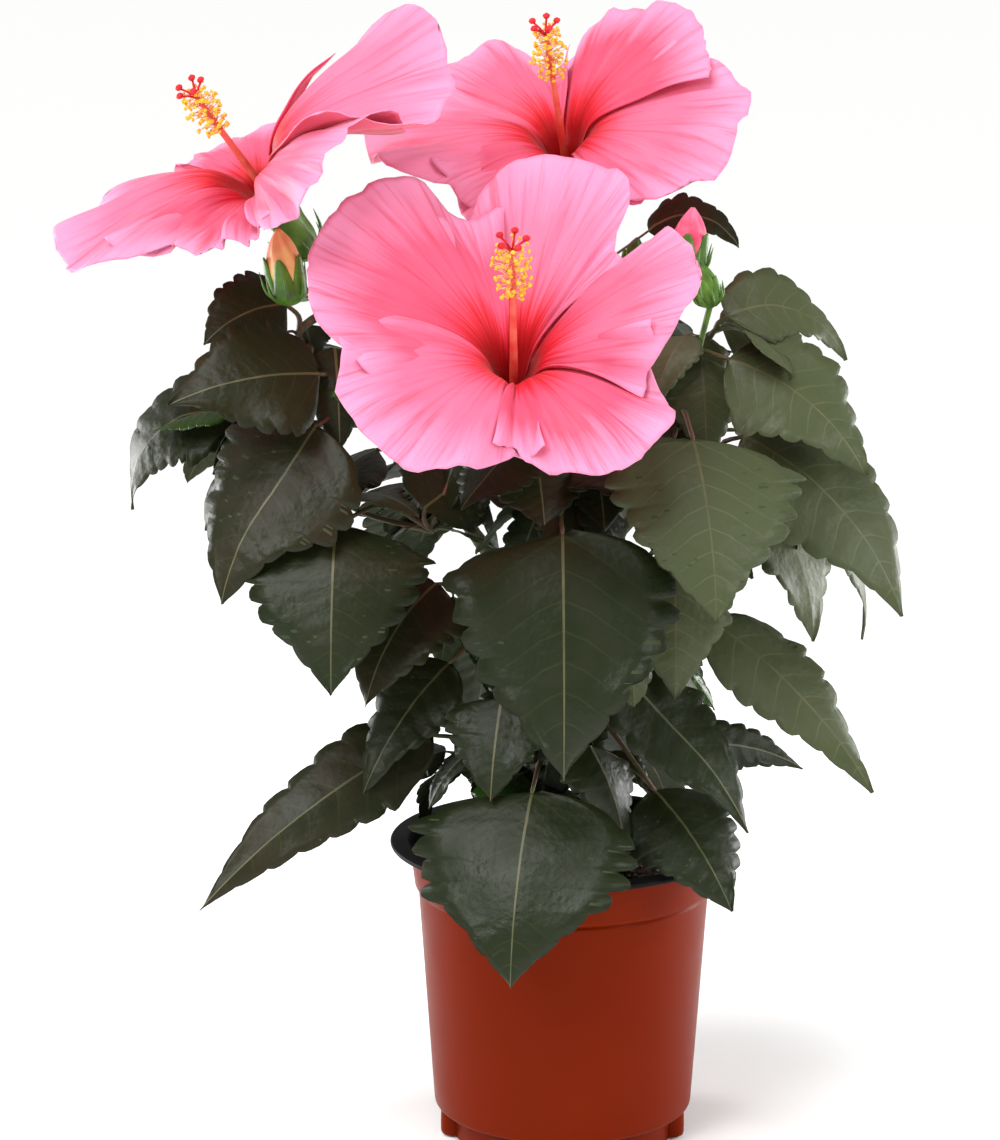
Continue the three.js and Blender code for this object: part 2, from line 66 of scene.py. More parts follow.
def gamma(text):
    """Three sRGB values between 0 and 1 from hex text."""
    return tuple(int(text[i:i + 2], 16) / 255 for i in (1, 3, 5))


# ------------------------------------------------------------------ what a user may change

class HibiscusPotSettings(bpy.types.PropertyGroup):
    shell_color: bpy.props.FloatVectorProperty(
        name="Shell colour", description="Outside of the pot, sRGB", subtype="COLOR_GAMMA",
        size=3, default=gamma("#731d00"), min=0, max=1)
    lining_color: bpy.props.FloatVectorProperty(
        name="Lining colour", description="Inside and lip of the pot, sRGB",
        subtype="COLOR_GAMMA", size=3, default=gamma("#161414"), min=0, max=1)
    crumbs: bpy.props.IntProperty(
        name="Crumbs", description="Loose crumbs on the soil", default=900, min=0)
    perlite: bpy.props.IntProperty(
        name="Perlite", description="Pale grains on the soil", default=150, min=0)


class HibiscusLeafSettings(bpy.types.PropertyGroup):
    thickness: bpy.props.FloatProperty(
        name="Thickness", description="Thickness of a leaf blade", default=0.00045,
        unit="LENGTH", min=0.0001)
    tooth: bpy.props.FloatProperty(
        name="Tooth", description="Depth of a margin tooth as a share of the half width",
        default=0.15, subtype="FACTOR", min=0, max=0.3)
    quilting: bpy.props.FloatProperty(
        name="Quilting", description="Height of the swelling between side veins",
        default=0.0011, unit="LENGTH", min=0)
    extra: bpy.props.IntProperty(
        name="Young leaves", description="Leaves added along each shoot", default=5, min=0)
    seed: bpy.props.IntProperty(
        name="Seed", description="Start of every dealt choice", default=7)


class HibiscusBloomSettings(bpy.types.PropertyGroup):
    thickness: bpy.props.FloatProperty(
        name="Petal thickness", description="Thickness of a petal", default=0.0006,
        unit="LENGTH", min=0.0001)
    ruffle: bpy.props.FloatProperty(
        name="Ruffle", description="Height of the waves at a petal's rim", default=0.0056,
        unit="LENGTH", min=0)
    anthers: bpy.props.IntProperty(
        name="Anthers", description="Anthers on each column", default=100, min=0)


class HibiscusStageSettings(bpy.types.PropertyGroup):
    floor_color: bpy.props.FloatVectorProperty(
        name="Floor colour", description="Painted floor, sRGB", subtype="COLOR_GAMMA",
        size=3, default=gamma("#f7f7f6"), min=0, max=1)
    key_power: bpy.props.FloatProperty(
        name="Key light", description="Power of the key light", default=8, unit="POWER", min=0)
    overhead: bpy.props.FloatProperty(
        name="Overhead", description="Strength of the wide light above", default=2.75, min=0)


# ------------------------------------------------------------------ small tools

def linear(color):
    """Linear colour with alpha from sRGB hex text or three sRGB values."""
    shades = gamma(color) if isinstance(color, str) else color
    flat = [c / 12.92 if c <= 0.04045 else ((c + 0.055) / 1.055) ** 2.4 for c in shades]
    return (*flat, 1.0)


def pattern_scale(size):
    """Scale of a pattern whose features are a size across, given in millimetres."""
    return 1 / (size * MM)


def add_node(tree, kind, settings=(), inputs=(), stops=()):
    """One node with its settings, its values or links, and a ramp's stops."""
    made = tree.nodes.new(kind)
    for name, value in dict(settings).items():
        setattr(made, name, value)
    for name, value in dict(inputs).items():
        if isinstance(value, bpy.types.NodeSocket):
            tree.links.new(value, made.inputs[name])
        else:
            made.inputs[name].default_value = value
    for i, (place, color) in enumerate(stops):
        if i >= len(made.color_ramp.elements):
            made.color_ramp.elements.new(place)
        made.color_ramp.elements[i].position = place
        made.color_ramp.elements[i].color = color
    return made


def new_material(name, shader):
    """A material whose one shader takes plain values; returns it with its tree and shader."""
    material = bpy.data.materials.new(name)
    material.use_nodes = True
    tree = material.node_tree
    tree.nodes.clear()
    surface = add_node(tree, "ShaderNodeBsdfPrincipled", inputs=shader)
    out = tree.nodes.new("ShaderNodeOutputMaterial")
    tree.links.new(surface.outputs["BSDF"], out.inputs["Surface"])
    material.diffuse_color = surface.inputs["Base Color"].default_value
    return material, tree, surface


def smooth(low, high, x):
    """0 below low, 1 above high, and an even S between them."""
    t = min(1.0, max(0.0, (x - low) / (high - low)))
    return t * t * (3 - 2 * t)


def interpolate(keys, values, x):
    """Smooth value at x through values given at rising keys; values are numbers or vectors."""
    x = min(keys[-1], max(keys[0], x))
    i = 0
    while i < len(keys) - 2 and x > keys[i + 1]:
        i += 1
    span = keys[i + 1] - keys[i]
    t = (x - keys[i]) / span

    def slope(k):
        a, b = max(0, k - 1), min(len(keys) - 1, k + 1)
        return (values[b] - values[a]) / (keys[b] - keys[a])

    h00, h10 = 2 * t ** 3 - 3 * t ** 2 + 1, t ** 3 - 2 * t ** 2 + t
    h01, h11 = -2 * t ** 3 + 3 * t ** 2, t ** 3 - t ** 2
    return (values[i] * h00 + slope(i) * (h10 * span)
            + values[i + 1] * h01 + slope(i + 1) * (h11 * span))


def around(first, second, turn):
    """Direction at an angle in radians from a first direction towards a second."""
    return first * math.cos(turn) + second * math.sin(turn)


def rough(point, size, seed=0.0):
    """Smooth seeded noise between -1 and 1 whose features are about size across."""
    return noise.noise(point / size + Vector((seed, 1.7 * seed, -seed)))


def beside(node, share, offset):
    """Point at shares of a frame part's box, moved by an offset in millimetres."""
    low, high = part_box(node)
    return Vector([a + (b - a) * t + o * MM for a, b, t, o in zip(low, high, share, offset)])


NO_PLACE = (0.0, 0.0, 0.0)        # where a finish has no use for the place attribute


class Shape:
    """Points, faces, a finish number for each face, and one tile corner list for the bake."""

    def __init__(self):
        self.points, self.faces, self.finish, self.uvs, self.places = [], [], [], [], []

    def grid(self, rows, finish, closed=False, uvs=None, places=None, flip=False):
        """Skin over rows of points; closed joins each row's end to its start."""
        start = len(self.points)
        across = len(rows[0])
        for r, row in enumerate(rows):
            self.points.extend(row)
            self.places.extend(places[r] if places else [NO_PLACE] * across)
        for r in range(len(rows) - 1):
            for c in range(across if closed else across - 1):
                d = (c + 1) % across
                corners = [(r, c), (r, d), (r + 1, d), (r + 1, c)]
                if flip:
                    corners.reverse()
                self.faces.append([start + i * across + j for i, j in corners])
                self.finish.append(finish(r, c) if callable(finish) else finish)
                if uvs:
                    self.uvs.extend(uvs[i][j] for i, j in corners)
                else:
                    wide = [(i, c + 1 if (j == d and d == 0 and closed) else j)
                            for i, j in corners]
                    self.uvs.extend((j / across, i / len(rows)) for i, j in wide)
        return start

    def face(self, corners, finish):
        """One face between points that are already there."""
        self.faces.append(list(corners))
        self.finish.append(finish)
        self.uvs.extend((0.5, 0.5) for _ in corners)

    def cap(self, first, sides, spot, finish, flip):
        """Fan of faces from a ring, given by its first point, to one spot."""
        tip = len(self.points)
        self.points.append(spot)
        self.places.append(NO_PLACE)
        for k in range(sides):
            corners = [first + k, first + (k + 1) % sides, tip]
            self.face(corners[::-1] if flip else corners, finish)

    def tube(self, path, radii, sides, finish, relief=None):
        """Round limb along path, closed by a point at both ends."""
        rows = []
        side = None
        for i, centre in enumerate(path):
            ahead = path[min(i + 1, len(path) - 1)] - path[max(i - 1, 0)]
            ahead.normalize()
            side = (side - ahead * side.dot(ahead)) if side else ahead.orthogonal()
            side.normalize()
            other = ahead.cross(side)
            row = []
            for k in range(sides):
                out = around(side, other, 2 * math.pi * k / sides)
                radius = radii[i] * (1 + (relief(centre + out * radii[i], i) if relief else 0))
                row.append(centre + out * radius)
            rows.append(row)
        start = self.grid(rows, finish, closed=True)
        self.cap(start, sides, path[0], finish, True)
        self.cap(start + (len(rows) - 1) * sides, sides, path[-1], finish, False)

    def lump(self, centre, axes, seed, finish, rings=4, sides=7, wobble=0.15):
        """Small closed uneven ball with the half axes given as three vectors."""
        rows = []
        for r in range(1, rings):
            lift = math.pi * r / rings
            row = []
            for k in range(sides):
                turn = 2 * math.pi * k / sides
                unit = Vector((math.sin(lift) * math.cos(turn), math.sin(lift) * math.sin(turn),
                               math.cos(lift)))
                grow = 1 + wobble * noise.noise(unit * 1.6 + Vector((seed, seed, seed)))
                row.append(centre + (axes[0] * unit.x + axes[1] * unit.y + axes[2] * unit.z) * grow)
            rows.append(row)
        start = self.grid(rows, finish, closed=True, flip=True)
        self.cap(start, sides, centre + axes[2], finish, False)
        self.cap(start + (len(rows) - 1) * sides, sides, centre - axes[2], finish, True)

    def piece(self, name, materials, slot, replaces=()):
        """The finished mesh object, riding on the frame."""
        mesh = bpy.data.meshes.new(name)
        mesh.from_pydata([tuple(p) for p in self.points], [], self.faces)
        for material in materials:
            mesh.materials.append(material)
        mesh.polygons.foreach_set("material_index", self.finish)
        mesh.polygons.foreach_set("use_smooth", [True] * len(self.faces))
        layer = mesh.uv_layers.new(name="OFBake")
        layer.data.foreach_set("uv", [c for uv in self.uvs for c in uv])
        place = mesh.attributes.new("place", "FLOAT_VECTOR", "POINT")
        place.data.foreach_set("vector", [c for p in self.places for c in p])
        mesh.update()
        made = bpy.data.objects.new(name, mesh)
        bpy.context.scene.collection.objects.link(made)
        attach(made, "root")
        if replaces:
            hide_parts(*replaces)
        return made


# ------------------------------------------------------------------ reading the frame

class Skin:
    """A CAD node's corners, welded, with who is next to whom."""

    def __init__(self, name):
        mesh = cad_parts[name].data
        seen, where = {}, []
        self.points = []
        for vertex in mesh.vertices:
            key = tuple(round(c, 6) for c in vertex.co)
            if key not in seen:
                seen[key] = len(self.points)
                self.points.append(vertex.co.copy())
            where.append(seen[key])
        self.faces = [[where[i] for i in face.vertices] for face in mesh.polygons]
        self.near = [set() for _ in self.points]
        self.angle = [0.0 for _ in self.points]
        for face in self.faces:
            for i, here in enumerate(face):
                before, after = face[i - 1], face[(i + 1) % len(face)]
                if here in (before, after):
                    continue
                self.near[here].update((before, after))
                a = self.points[before] - self.points[here]
                b = self.points[after] - self.points[here]
                if a.length and b.length:
                    self.angle[here] += a.angle(b)


# The CAD leaf: where its sections lie along the blade, how wide they are as shares of the
# widest, and how many corners each has. The angles of the faces that meet at its tip add up to
# less than those at any other point with as many neighbours.
LEAF_SHARES = [0.0, 0.1, 0.34, 0.64, 0.86, 1.0]
LEAF_SPREADS = {0.1: 0.64, 0.34: 1.0, 0.64: 0.7, 0.86: 0.28}
SECTION_CORNERS = 4
TIP_ANGLE = math.radians(215)


def read_leaf(skin, tip):
    """Midrib, sides and width of the CAD leaf that ends at a tip, or None if it is hidden."""
    seen = {tip}
    ring = set(skin.near[tip])
    rings = []
    face = side = None
    while len(ring) == SECTION_CORNERS and len(rings) < len(LEAF_SHARES) - 1:
        spots = [skin.points[i] for i in ring]
        centre = sum(spots, Vector()) / SECTION_CORNERS
        if face is None:
            pairs = [(a, b) for a in ring for b in ring if a < b and b not in skin.near[a]]
            if len(pairs) != 2:
                return None
            pairs.sort(key=lambda p: (skin.points[p[0]] - skin.points[p[1]]).length)
            (top, under), (left, right) = pairs
            fold = (skin.points[top] + skin.points[under] - skin.points[left]
                    - skin.points[right]) / 2
            face = (skin.points[top] - skin.points[under]).normalized()
            if fold.dot(face) < 0:
                face = -face
            side = (skin.points[left] - skin.points[right]).normalized()
            if face.cross(side).dot(skin.points[tip] - centre) > 0:
                side = -side
        order = sorted(ring, key=lambda i: (skin.points[i] - centre).dot(side))
        right, left = skin.points[order[0]], skin.points[order[-1]]
        under, top = sorted((skin.points[i] for i in order[1:3]), key=lambda p: p.dot(face))
        rings.append(((top + under) / 2, (left - right) / 2, (top - under).normalized()))
        face = (top - under).normalized()
        side = (left - right).normalized()
        seen |= ring
        ring = {j for i in ring for j in skin.near[i]} - seen
    if len(rings) < 2:
        return None
    return skin.points[tip], rings, ring, skin


def finish_leaf(tip, rings, ring, skin):
    """Six midrib points from stalk to tip, the half width and the faces along the blade."""
    shares = LEAF_SHARES[:-1][-len(rings):]
    rings = rings[::-1]
    centres = [r[0] for r in rings] + [tip]
    keys = shares + [1.0]
    halves = [r[1].length / LEAF_SPREADS[s] for r, s in zip(rings, shares) if s in LEAF_SPREADS]
    half = sum(halves) / len(halves)
    faces = [r[2] for r in rings] + [rings[-1][2]]
    if keys[0] > 0:
        step = (centres[0] - centres[1]) / (keys[1] - keys[0])
        centres.insert(0, centres[0] + step * keys[0])
        faces.insert(0, faces[0])
        keys.insert(0, 0.0)
        hub = None
    else:
        hub = sum((skin.points[i] for i in ring), Vector()) / len(ring) if ring else None
    return {"keys": keys, "midrib": centres, "faces": faces, "half": half, "hub": hub}


def read_shoot(name):
    """Every leaf of a CAD shoot, found from its tip."""
    skin = Skin(name)
    leaves = []
    for i, near in enumerate(skin.near):
        if len(near) == SECTION_CORNERS and skin.angle[i] < TIP_ANGLE:
            found = read_leaf(skin, i)
            if found:
                leaves.append(finish_leaf(*found))
    return leaves


RING_GAP = 0.9 * MM               # rings of corners along a limb lie further apart than this
RING_CORNERS = 6                  # a group of fewer corners is no ring


def read_limb(name):
    """Middle line and radii of a CAD limb, from its lower end up."""
    skin = Skin(name)
    low = min(skin.points, key=lambda p: p.z)
    high = max(skin.points, key=lambda p: p.z)
    run = (high - low).normalized()
    order = sorted(skin.points, key=lambda p: (p - low).dot(run))
    groups, group = [], [order[0]]
    for before, after in zip(order, order[1:]):
        if (after - before).dot(run) > RING_GAP:
            groups.append(group)
            group = []
        group.append(after)
    groups.append(group)
    line = []
    for group in groups:
        if len(group) >= RING_CORNERS:
            centre = sum(group, Vector()) / len(group)
            radius = sum((p - centre).length for p in group) / len(group)
            line.append((centre, radius))
    return line


def nearest(lines, point):
    """Distance to, and place of, the closest point on the middle lines of many limbs."""
    best = None
    for line in lines.values():
        for (a, _), (b, _) in zip(line, line[1:]):
            t = min(1, max(0, (point - a).dot(b - a) / max(1e-12, (b - a).length_squared)))
            spot = a.lerp(b, t)
            far = (spot - point).length
            if best is None or far < best[0]:
                best = (far, spot)
    return best


AXIS_ROUNDS = 30                  # rounds in which a column's direction settles


def read_column(name):
    """Foot, axis and length of a bloom's column."""
    skin = Skin(name)
    corolla = Skin(name.replace("column", "bloom"))
    middle = sum(skin.points, Vector()) / len(skin.points)
    low, high = max(((a, b) for a in skin.points for b in skin.points),
                    key=lambda p: (p[0] - p[1]).length)
    axis = (high - low).normalized()
    for _ in range(AXIS_ROUNDS):
        spread = Vector()
        for p in skin.points:
            spread += (p - middle) * (p - middle).dot(axis)
        axis = spread.normalized()
    petals = sum(corolla.points, Vector()) / len(corolla.points)
    if (middle - petals).dot(axis) < 0:
        axis = -axis
    reach = [(p - middle).dot(axis) for p in skin.points]
    foot = middle + axis * min(reach)
    return foot, axis, max(reach) - min(reach)


MERIDIANS = 30                    # half planes in which the CAD corolla's points lie
COLUMN_CLEARANCE = 1.4 * MM       # from the corolla's foot to the column's foot
CORE_RADIUS = 3.6 * MM            # middle of the funnel's wall at its foot
CORE_HEIGHT = 2 * MM              # points below this belong to the corolla's foot
SHEET_THICKNESS = 2.4 * MM
SHEET_SLACK = 0.06 * MM           # by how much a pair of points may miss that thickness
ANGLE_SLACK = 0.4                 # degrees that a point may lie off its half plane
STATIONS = [0.0, 0.12, 0.3, 0.52, 0.8, 1.0]    # where the sheet is known, as shares of it


def bloom_axes(foot, axis):
    """Foot of a bloom's corolla, with its upper and right-hand directions."""
    base = foot - axis * COLUMN_CLEARANCE
    upper = (UP - axis * axis.z).normalized()
    return base, upper, upper.cross(axis)


def read_corolla(name, foot, axis):
    """For each angle round the bloom, the sheet's [out, up] at each station."""
    base, upper, right = bloom_axes(foot, axis)
    skin = Skin(name)
    lines = [[] for _ in range(MERIDIANS)]
    for p in skin.points:
        up = (p - base).dot(axis)
        flat = p - base - axis * up
        if flat.length < 1e-6:
            continue
        angle = math.degrees(math.atan2(flat.dot(right), flat.dot(upper)))
        k = round(angle * MERIDIANS / 360)
        if abs(angle - k * 360 / MERIDIANS) < ANGLE_SLACK:
            lines[k % MERIDIANS].append(Vector((flat.length, up)))
    sheet = []
    for line in lines:
        used, middles = set(), []
        for i in range(len(line)):
            for j in range(i + 1, len(line)):
                if abs((line[i] - line[j]).length - SHEET_THICKNESS) < SHEET_SLACK:
                    middles.append((line[i] + line[j]) / 2)
                    used |= {i, j}
        rest = [p for i, p in enumerate(line) if i not in used]
        middles = [m for m in middles if m.x > CORE_RADIUS * 0.9 and m.y > CORE_HEIGHT]
        middles.sort(key=lambda m: m.length)
        rim = max(rest, key=lambda p: p.length) if rest else None
        known = len(middles) == len(STATIONS) - 2
        whole = known and rim is not None and rim.length > middles[-1].length
        sheet.append([Vector((CORE_RADIUS, 0.0))] + middles + [rim] if whole else None)
    for k in range(MERIDIANS):
        if sheet[k] is None:
            a = next(i for i in range(1, MERIDIANS) if sheet[(k - i) % MERIDIANS])
            b = next(i for i in range(1, MERIDIANS) if sheet[(k + i) % MERIDIANS])
            before, after = sheet[(k - a) % MERIDIANS], sheet[(k + b) % MERIDIANS]
            lines[k] = [p.lerp(q, a / (a + b)) for p, q in zip(before, after)]
        else:
            lines[k] = sheet[k]
    return lines


def sheet_at(lines, angle, share):
    """[out, up] of the corolla sheet at any angle in degrees and share of its length."""
    turn = angle * MERIDIANS / 360
    k = math.floor(turn)
    t = turn - k
    spots = [interpolate(STATIONS, lines[(k + i) % MERIDIANS], share) for i in (-1, 0, 1, 2)]
    a, b, c, d = spots
    return (b * 2 + (c - a) * t + (a * 2 - b * 5 + c * 4 - d) * t ** 2
            + (b * 3 - a - c * 3 + d) * t ** 3) / 2


# ------------------------------------------------------------------ finishes

def polypropylene(name, color, roughness):
    """Injection-moulded polypropylene: even colour, satin gloss, a faint orange-peel skin, and
    small dull patches where pots have rubbed together."""
    material, tree, shader = new_material(name, {
        "Base Color": linear(color), "Roughness": roughness, "IOR": 1.49,
        "Specular IOR Level": 0.05})
    place = add_node(tree, "ShaderNodeTexCoord").outputs["Object"]
    blotch = add_node(tree, "ShaderNodeTexNoise", inputs={
        "Vector": place, "Scale": pattern_scale(38.46), "Detail": 5.0})
    tint = add_node(tree, "ShaderNodeMix", {"data_type": "RGBA", "blend_type": "MULTIPLY"}, {
        0: 0.16, 6: linear(color), 7: blotch.outputs["Color"]})
    dull = add_node(tree, "ShaderNodeMapRange", inputs={
        0: blotch.outputs["Fac"], 1: 0.35, 2: 0.75, 3: roughness - 0.05, 4: roughness + 0.12})
    peel = add_node(tree, "ShaderNodeTexNoise", inputs={
        "Vector": place, "Scale": pattern_scale(0.7143), "Detail": 2.0})
    scuff = add_node(tree, "ShaderNodeTexNoise", inputs={
        "Vector": place, "Scale": pattern_scale(6.25), "Detail": 6.0, "Roughness": 0.7})
    mixed = add_node(tree, "ShaderNodeMath", {"operation": "ADD"}, {
        0: peel.outputs["Fac"], 1: scuff.outputs["Fac"]})
    bump = add_node(tree, "ShaderNodeBump", inputs={
        "Strength": 0.12, "Distance": 0.2 * MM, "Height": mixed.outputs[0]})
    tree.links.new(tint.outputs[2], shader.inputs["Base Color"])
    tree.links.new(dull.outputs[0], shader.inputs["Roughness"])
    tree.links.new(bump.outputs[0], shader.inputs["Normal"])
    return material


def grainy(name, dark, light, roughness, size, depth):
    """Matt natural matter whose colour wanders between two shades from grain to grain; the
    grains' size and the depth of the finer roughness on them are in millimetres."""
    material, tree, shader = new_material(name, {
        "Base Color": linear(dark), "Roughness": roughness, "Specular IOR Level": 0.5})
    place = add_node(tree, "ShaderNodeTexCoord").outputs["Object"]
    grain = add_node(tree, "ShaderNodeTexNoise", inputs={
        "Vector": place, "Scale": pattern_scale(size), "Detail": 8.0, "Roughness": 0.6})
    ramp = add_node(tree, "ShaderNodeValToRGB", inputs={0: grain.outputs["Fac"]}, stops=[
        (0.35, linear(dark)), (0.7, linear(light))])
    fine = add_node(tree, "ShaderNodeTexNoise", inputs={
        "Vector": place, "Scale": pattern_scale(size / 4), "Detail": 6.0})
    bump = add_node(tree, "ShaderNodeBump", inputs={
        "Strength": 0.6, "Distance": depth * MM, "Height": fine.outputs["Fac"]})
    tree.links.new(ramp.outputs[0], shader.inputs["Base Color"])
    tree.links.new(bump.outputs[0], shader.inputs["Normal"])
    return material


def young_bark():
    """Smooth hibiscus bark: grey-brown, green showing through, fine upright cracks."""
    material, tree, shader = new_material("hibiscus_bark", {
        "Base Color": linear("#5a5240"), "Roughness": 0.72})
    place = add_node(tree, "ShaderNodeTexCoord").outputs["Object"]
    stretch = add_node(tree, "ShaderNodeMapping", inputs={
        "Vector": place, "Scale": (1.0, 1.0, 0.16)})
    crack = add_node(tree, "ShaderNodeTexNoise", inputs={
        "Vector": stretch.outputs[0], "Scale": pattern_scale(1.613), "Detail": 6.0,
        "Roughness": 0.65})
    patch = add_node(tree, "ShaderNodeTexNoise", inputs={
        "Vector": place, "Scale": pattern_scale(18.18), "Detail": 3.0})
    shade = add_node(tree, "ShaderNodeValToRGB", inputs={0: crack.outputs["Fac"]}, stops=[
        (0.3, linear("#2c261c")), (0.55, linear("#5c5440")), (0.75, linear("#857a60"))])
    green = add_node(tree, "ShaderNodeMix", {"data_type": "RGBA"}, {
        0: patch.outputs["Fac"], 6: shade.outputs[0], 7: linear("#4a5230")})
    bump = add_node(tree, "ShaderNodeBump", inputs={
        "Strength": 0.8, "Distance": 0.4 * MM, "Height": crack.outputs["Fac"]})
    tree.links.new(green.outputs[2], shader.inputs["Base Color"])
    tree.links.new(bump.outputs[0], shader.inputs["Normal"])
    return material


def leaf_face(name, deep, tint, vein, roughness):
    """Upper side of a hibiscus leaf: waxed skin that shines on the swellings between its veins.
    The place attribute holds how many side veins up the blade, how far from the midrib, and the
    leaf's own tone."""
    material, tree, shader = new_material(name, {
        "Base Color": linear(deep), "Roughness": roughness, "IOR": 1.45,
        "Specular IOR Level": 0.24})
    place = add_node(tree, "ShaderNodeAttribute", {"attribute_name": "place"})
    parts = add_node(tree, "ShaderNodeSeparateXYZ", inputs={0: place.outputs["Vector"]})
    spot = add_node(tree, "ShaderNodeTexCoord").outputs["Object"]
    mottle = add_node(tree, "ShaderNodeTexNoise", inputs={
        "Vector": spot, "Scale": pattern_scale(14.286), "Detail": 4.0})
    tone = add_node(tree, "ShaderNodeMath", {"operation": "MULTIPLY"}, {
        0: parts.outputs["Z"], 1: mottle.outputs["Fac"]})
    tone = add_node(tree, "ShaderNodeMapRange", inputs={0: tone.outputs[0], 1: 0.22, 2: 0.75})
    body = add_node(tree, "ShaderNodeMix", {"data_type": "RGBA"}, {
        0: tone.outputs[0], 6: linear(deep), 7: linear(tint)})
    wave = add_node(tree, "ShaderNodeMath", {"operation": "PINGPONG"}, {
        0: parts.outputs["X"], 1: 0.5})
    line = add_node(tree, "ShaderNodeMapRange", {"interpolation_type": "SMOOTHSTEP"}, {
        0: wave.outputs[0], 1: 0.0, 2: 0.06, 3: 1.0, 4: 0.0})
    fade = add_node(tree, "ShaderNodeMapRange", inputs={
        0: parts.outputs["Y"], 1: 0.3, 2: 1.0, 3: 0.16, 4: 0.02})
    mask = add_node(tree, "ShaderNodeMath", {"operation": "MULTIPLY"}, {
        0: line.outputs[0], 1: fade.outputs[0]})
    veined = add_node(tree, "ShaderNodeMix", {"data_type": "RGBA"}, {
        0: mask.outputs[0], 6: body.outputs[2], 7: linear(vein)})
    cells = add_node(tree, "ShaderNodeTexVoronoi", inputs={
        "Vector": spot, "Scale": pattern_scale(2.381)})
    fine = add_node(tree, "ShaderNodeTexNoise", inputs={
        "Vector": spot, "Scale": pattern_scale(1.1111), "Detail": 4.0})
    skin = add_node(tree, "ShaderNodeMath", {"operation": "MULTIPLY_ADD"}, {
        0: fine.outputs["Fac"], 1: 0.4, 2: cells.outputs["Distance"]})
    crumple = add_node(tree, "ShaderNodeTexNoise", inputs={
        "Vector": spot, "Scale": pattern_scale(5.882), "Detail": 3.0, "Roughness": 0.55})
    leather = add_node(tree, "ShaderNodeBump", inputs={
        "Strength": 0.42, "Distance": 0.9 * MM, "Height": crumple.outputs["Fac"]})
    bump = add_node(tree, "ShaderNodeBump", inputs={
        "Strength": 0.3, "Distance": 0.3 * MM, "Height": skin.outputs[0],
        "Normal": leather.outputs[0]})
    gloss = add_node(tree, "ShaderNodeMapRange", inputs={
        0: mottle.outputs["Fac"], 1: 0.3, 2: 0.7, 3: roughness - 0.07, 4: roughness + 0.1})
    tree.links.new(veined.outputs[2], shader.inputs["Base Color"])
    tree.links.new(gloss.outputs[0], shader.inputs["Roughness"])
    tree.links.new(bump.outputs[0], shader.inputs["Normal"])
    return material


def petal_skin(name, throat, flame, body, edge, roughness, streak):
    """Hibiscus petal: thin satin skin, a blood-red throat that runs out along the veins, and fine
    veins fanning to a paler rim. The place attribute holds across, along and the petal's tone."""
    material, tree, shader = new_material(name, {
        "Base Color": linear(body), "Roughness": roughness, "IOR": 1.4,
        "Specular IOR Level": 0.35, "Sheen Weight": 0.15, "Sheen Roughness": 0.4,
        "Subsurface Weight": 0.12, "Subsurface Radius": (0.004, 0.0015, 0.0015),
        "Subsurface Scale": 1.0})
    place = add_node(tree, "ShaderNodeAttribute", {"attribute_name": "place"})
    # About 46 veins across a petal of 60 to 90 millimetres, each nearly as long as the petal.
    fan = add_node(tree, "ShaderNodeMapping", inputs={
        "Vector": place.outputs["Vector"], "Scale": (1.35, 0.11, 3.0)})
    veins = add_node(tree, "ShaderNodeTexNoise", inputs={
        "Vector": fan.outputs[0], "Scale": 17.0, "Detail": 5.0, "Roughness": 0.62})
    parts = add_node(tree, "ShaderNodeSeparateXYZ", inputs={0: place.outputs["Vector"]})
    push = add_node(tree, "ShaderNodeMath", {"operation": "MULTIPLY_ADD"}, {
        0: veins.outputs["Fac"], 1: -streak, 2: parts.outputs["Y"]})
    push = add_node(tree, "ShaderNodeMath", {"operation": "ADD"}, {
        0: push.outputs[0], 1: streak * 0.5})
    ramp = add_node(tree, "ShaderNodeValToRGB", inputs={0: push.outputs[0]}, stops=[
        (0.22, linear(throat)), (0.35, linear(flame)), (0.49, linear(body)),
        (0.72, linear(body)), (0.97, linear(edge))])
    pale = add_node(tree, "ShaderNodeMapRange", inputs={0: parts.outputs["Z"], 4: 0.6})
    reach = add_node(tree, "ShaderNodeMapRange", inputs={0: push.outputs[0], 1: 0.3, 2: 0.6})
    pale = add_node(tree, "ShaderNodeMath", {"operation": "MULTIPLY"}, {
        0: pale.outputs[0], 1: reach.outputs[0]})
    ramp = add_node(tree, "ShaderNodeMix", {"data_type": "RGBA"}, {
        0: pale.outputs[0], 6: ramp.outputs[0], 7: linear(edge)})
    line = add_node(tree, "ShaderNodeMapRange", {"interpolation_type": "SMOOTHSTEP"}, {
        0: veins.outputs["Fac"], 1: 0.5, 2: 0.72, 3: 0.0, 4: 0.34})
    color = add_node(tree, "ShaderNodeMix", {"data_type": "RGBA", "blend_type": "MULTIPLY"}, {
        0: line.outputs[0], 6: ramp.outputs[2], 7: linear(flame)})
    ridge = add_node(tree, "ShaderNodeBump", inputs={
        "Strength": 0.5, "Distance": 0.6 * MM, "Height": veins.outputs["Fac"]})
    tree.links.new(color.outputs[2], shader.inputs["Base Color"])
    tree.links.new(ridge.outputs[0], shader.inputs["Normal"])
    return material


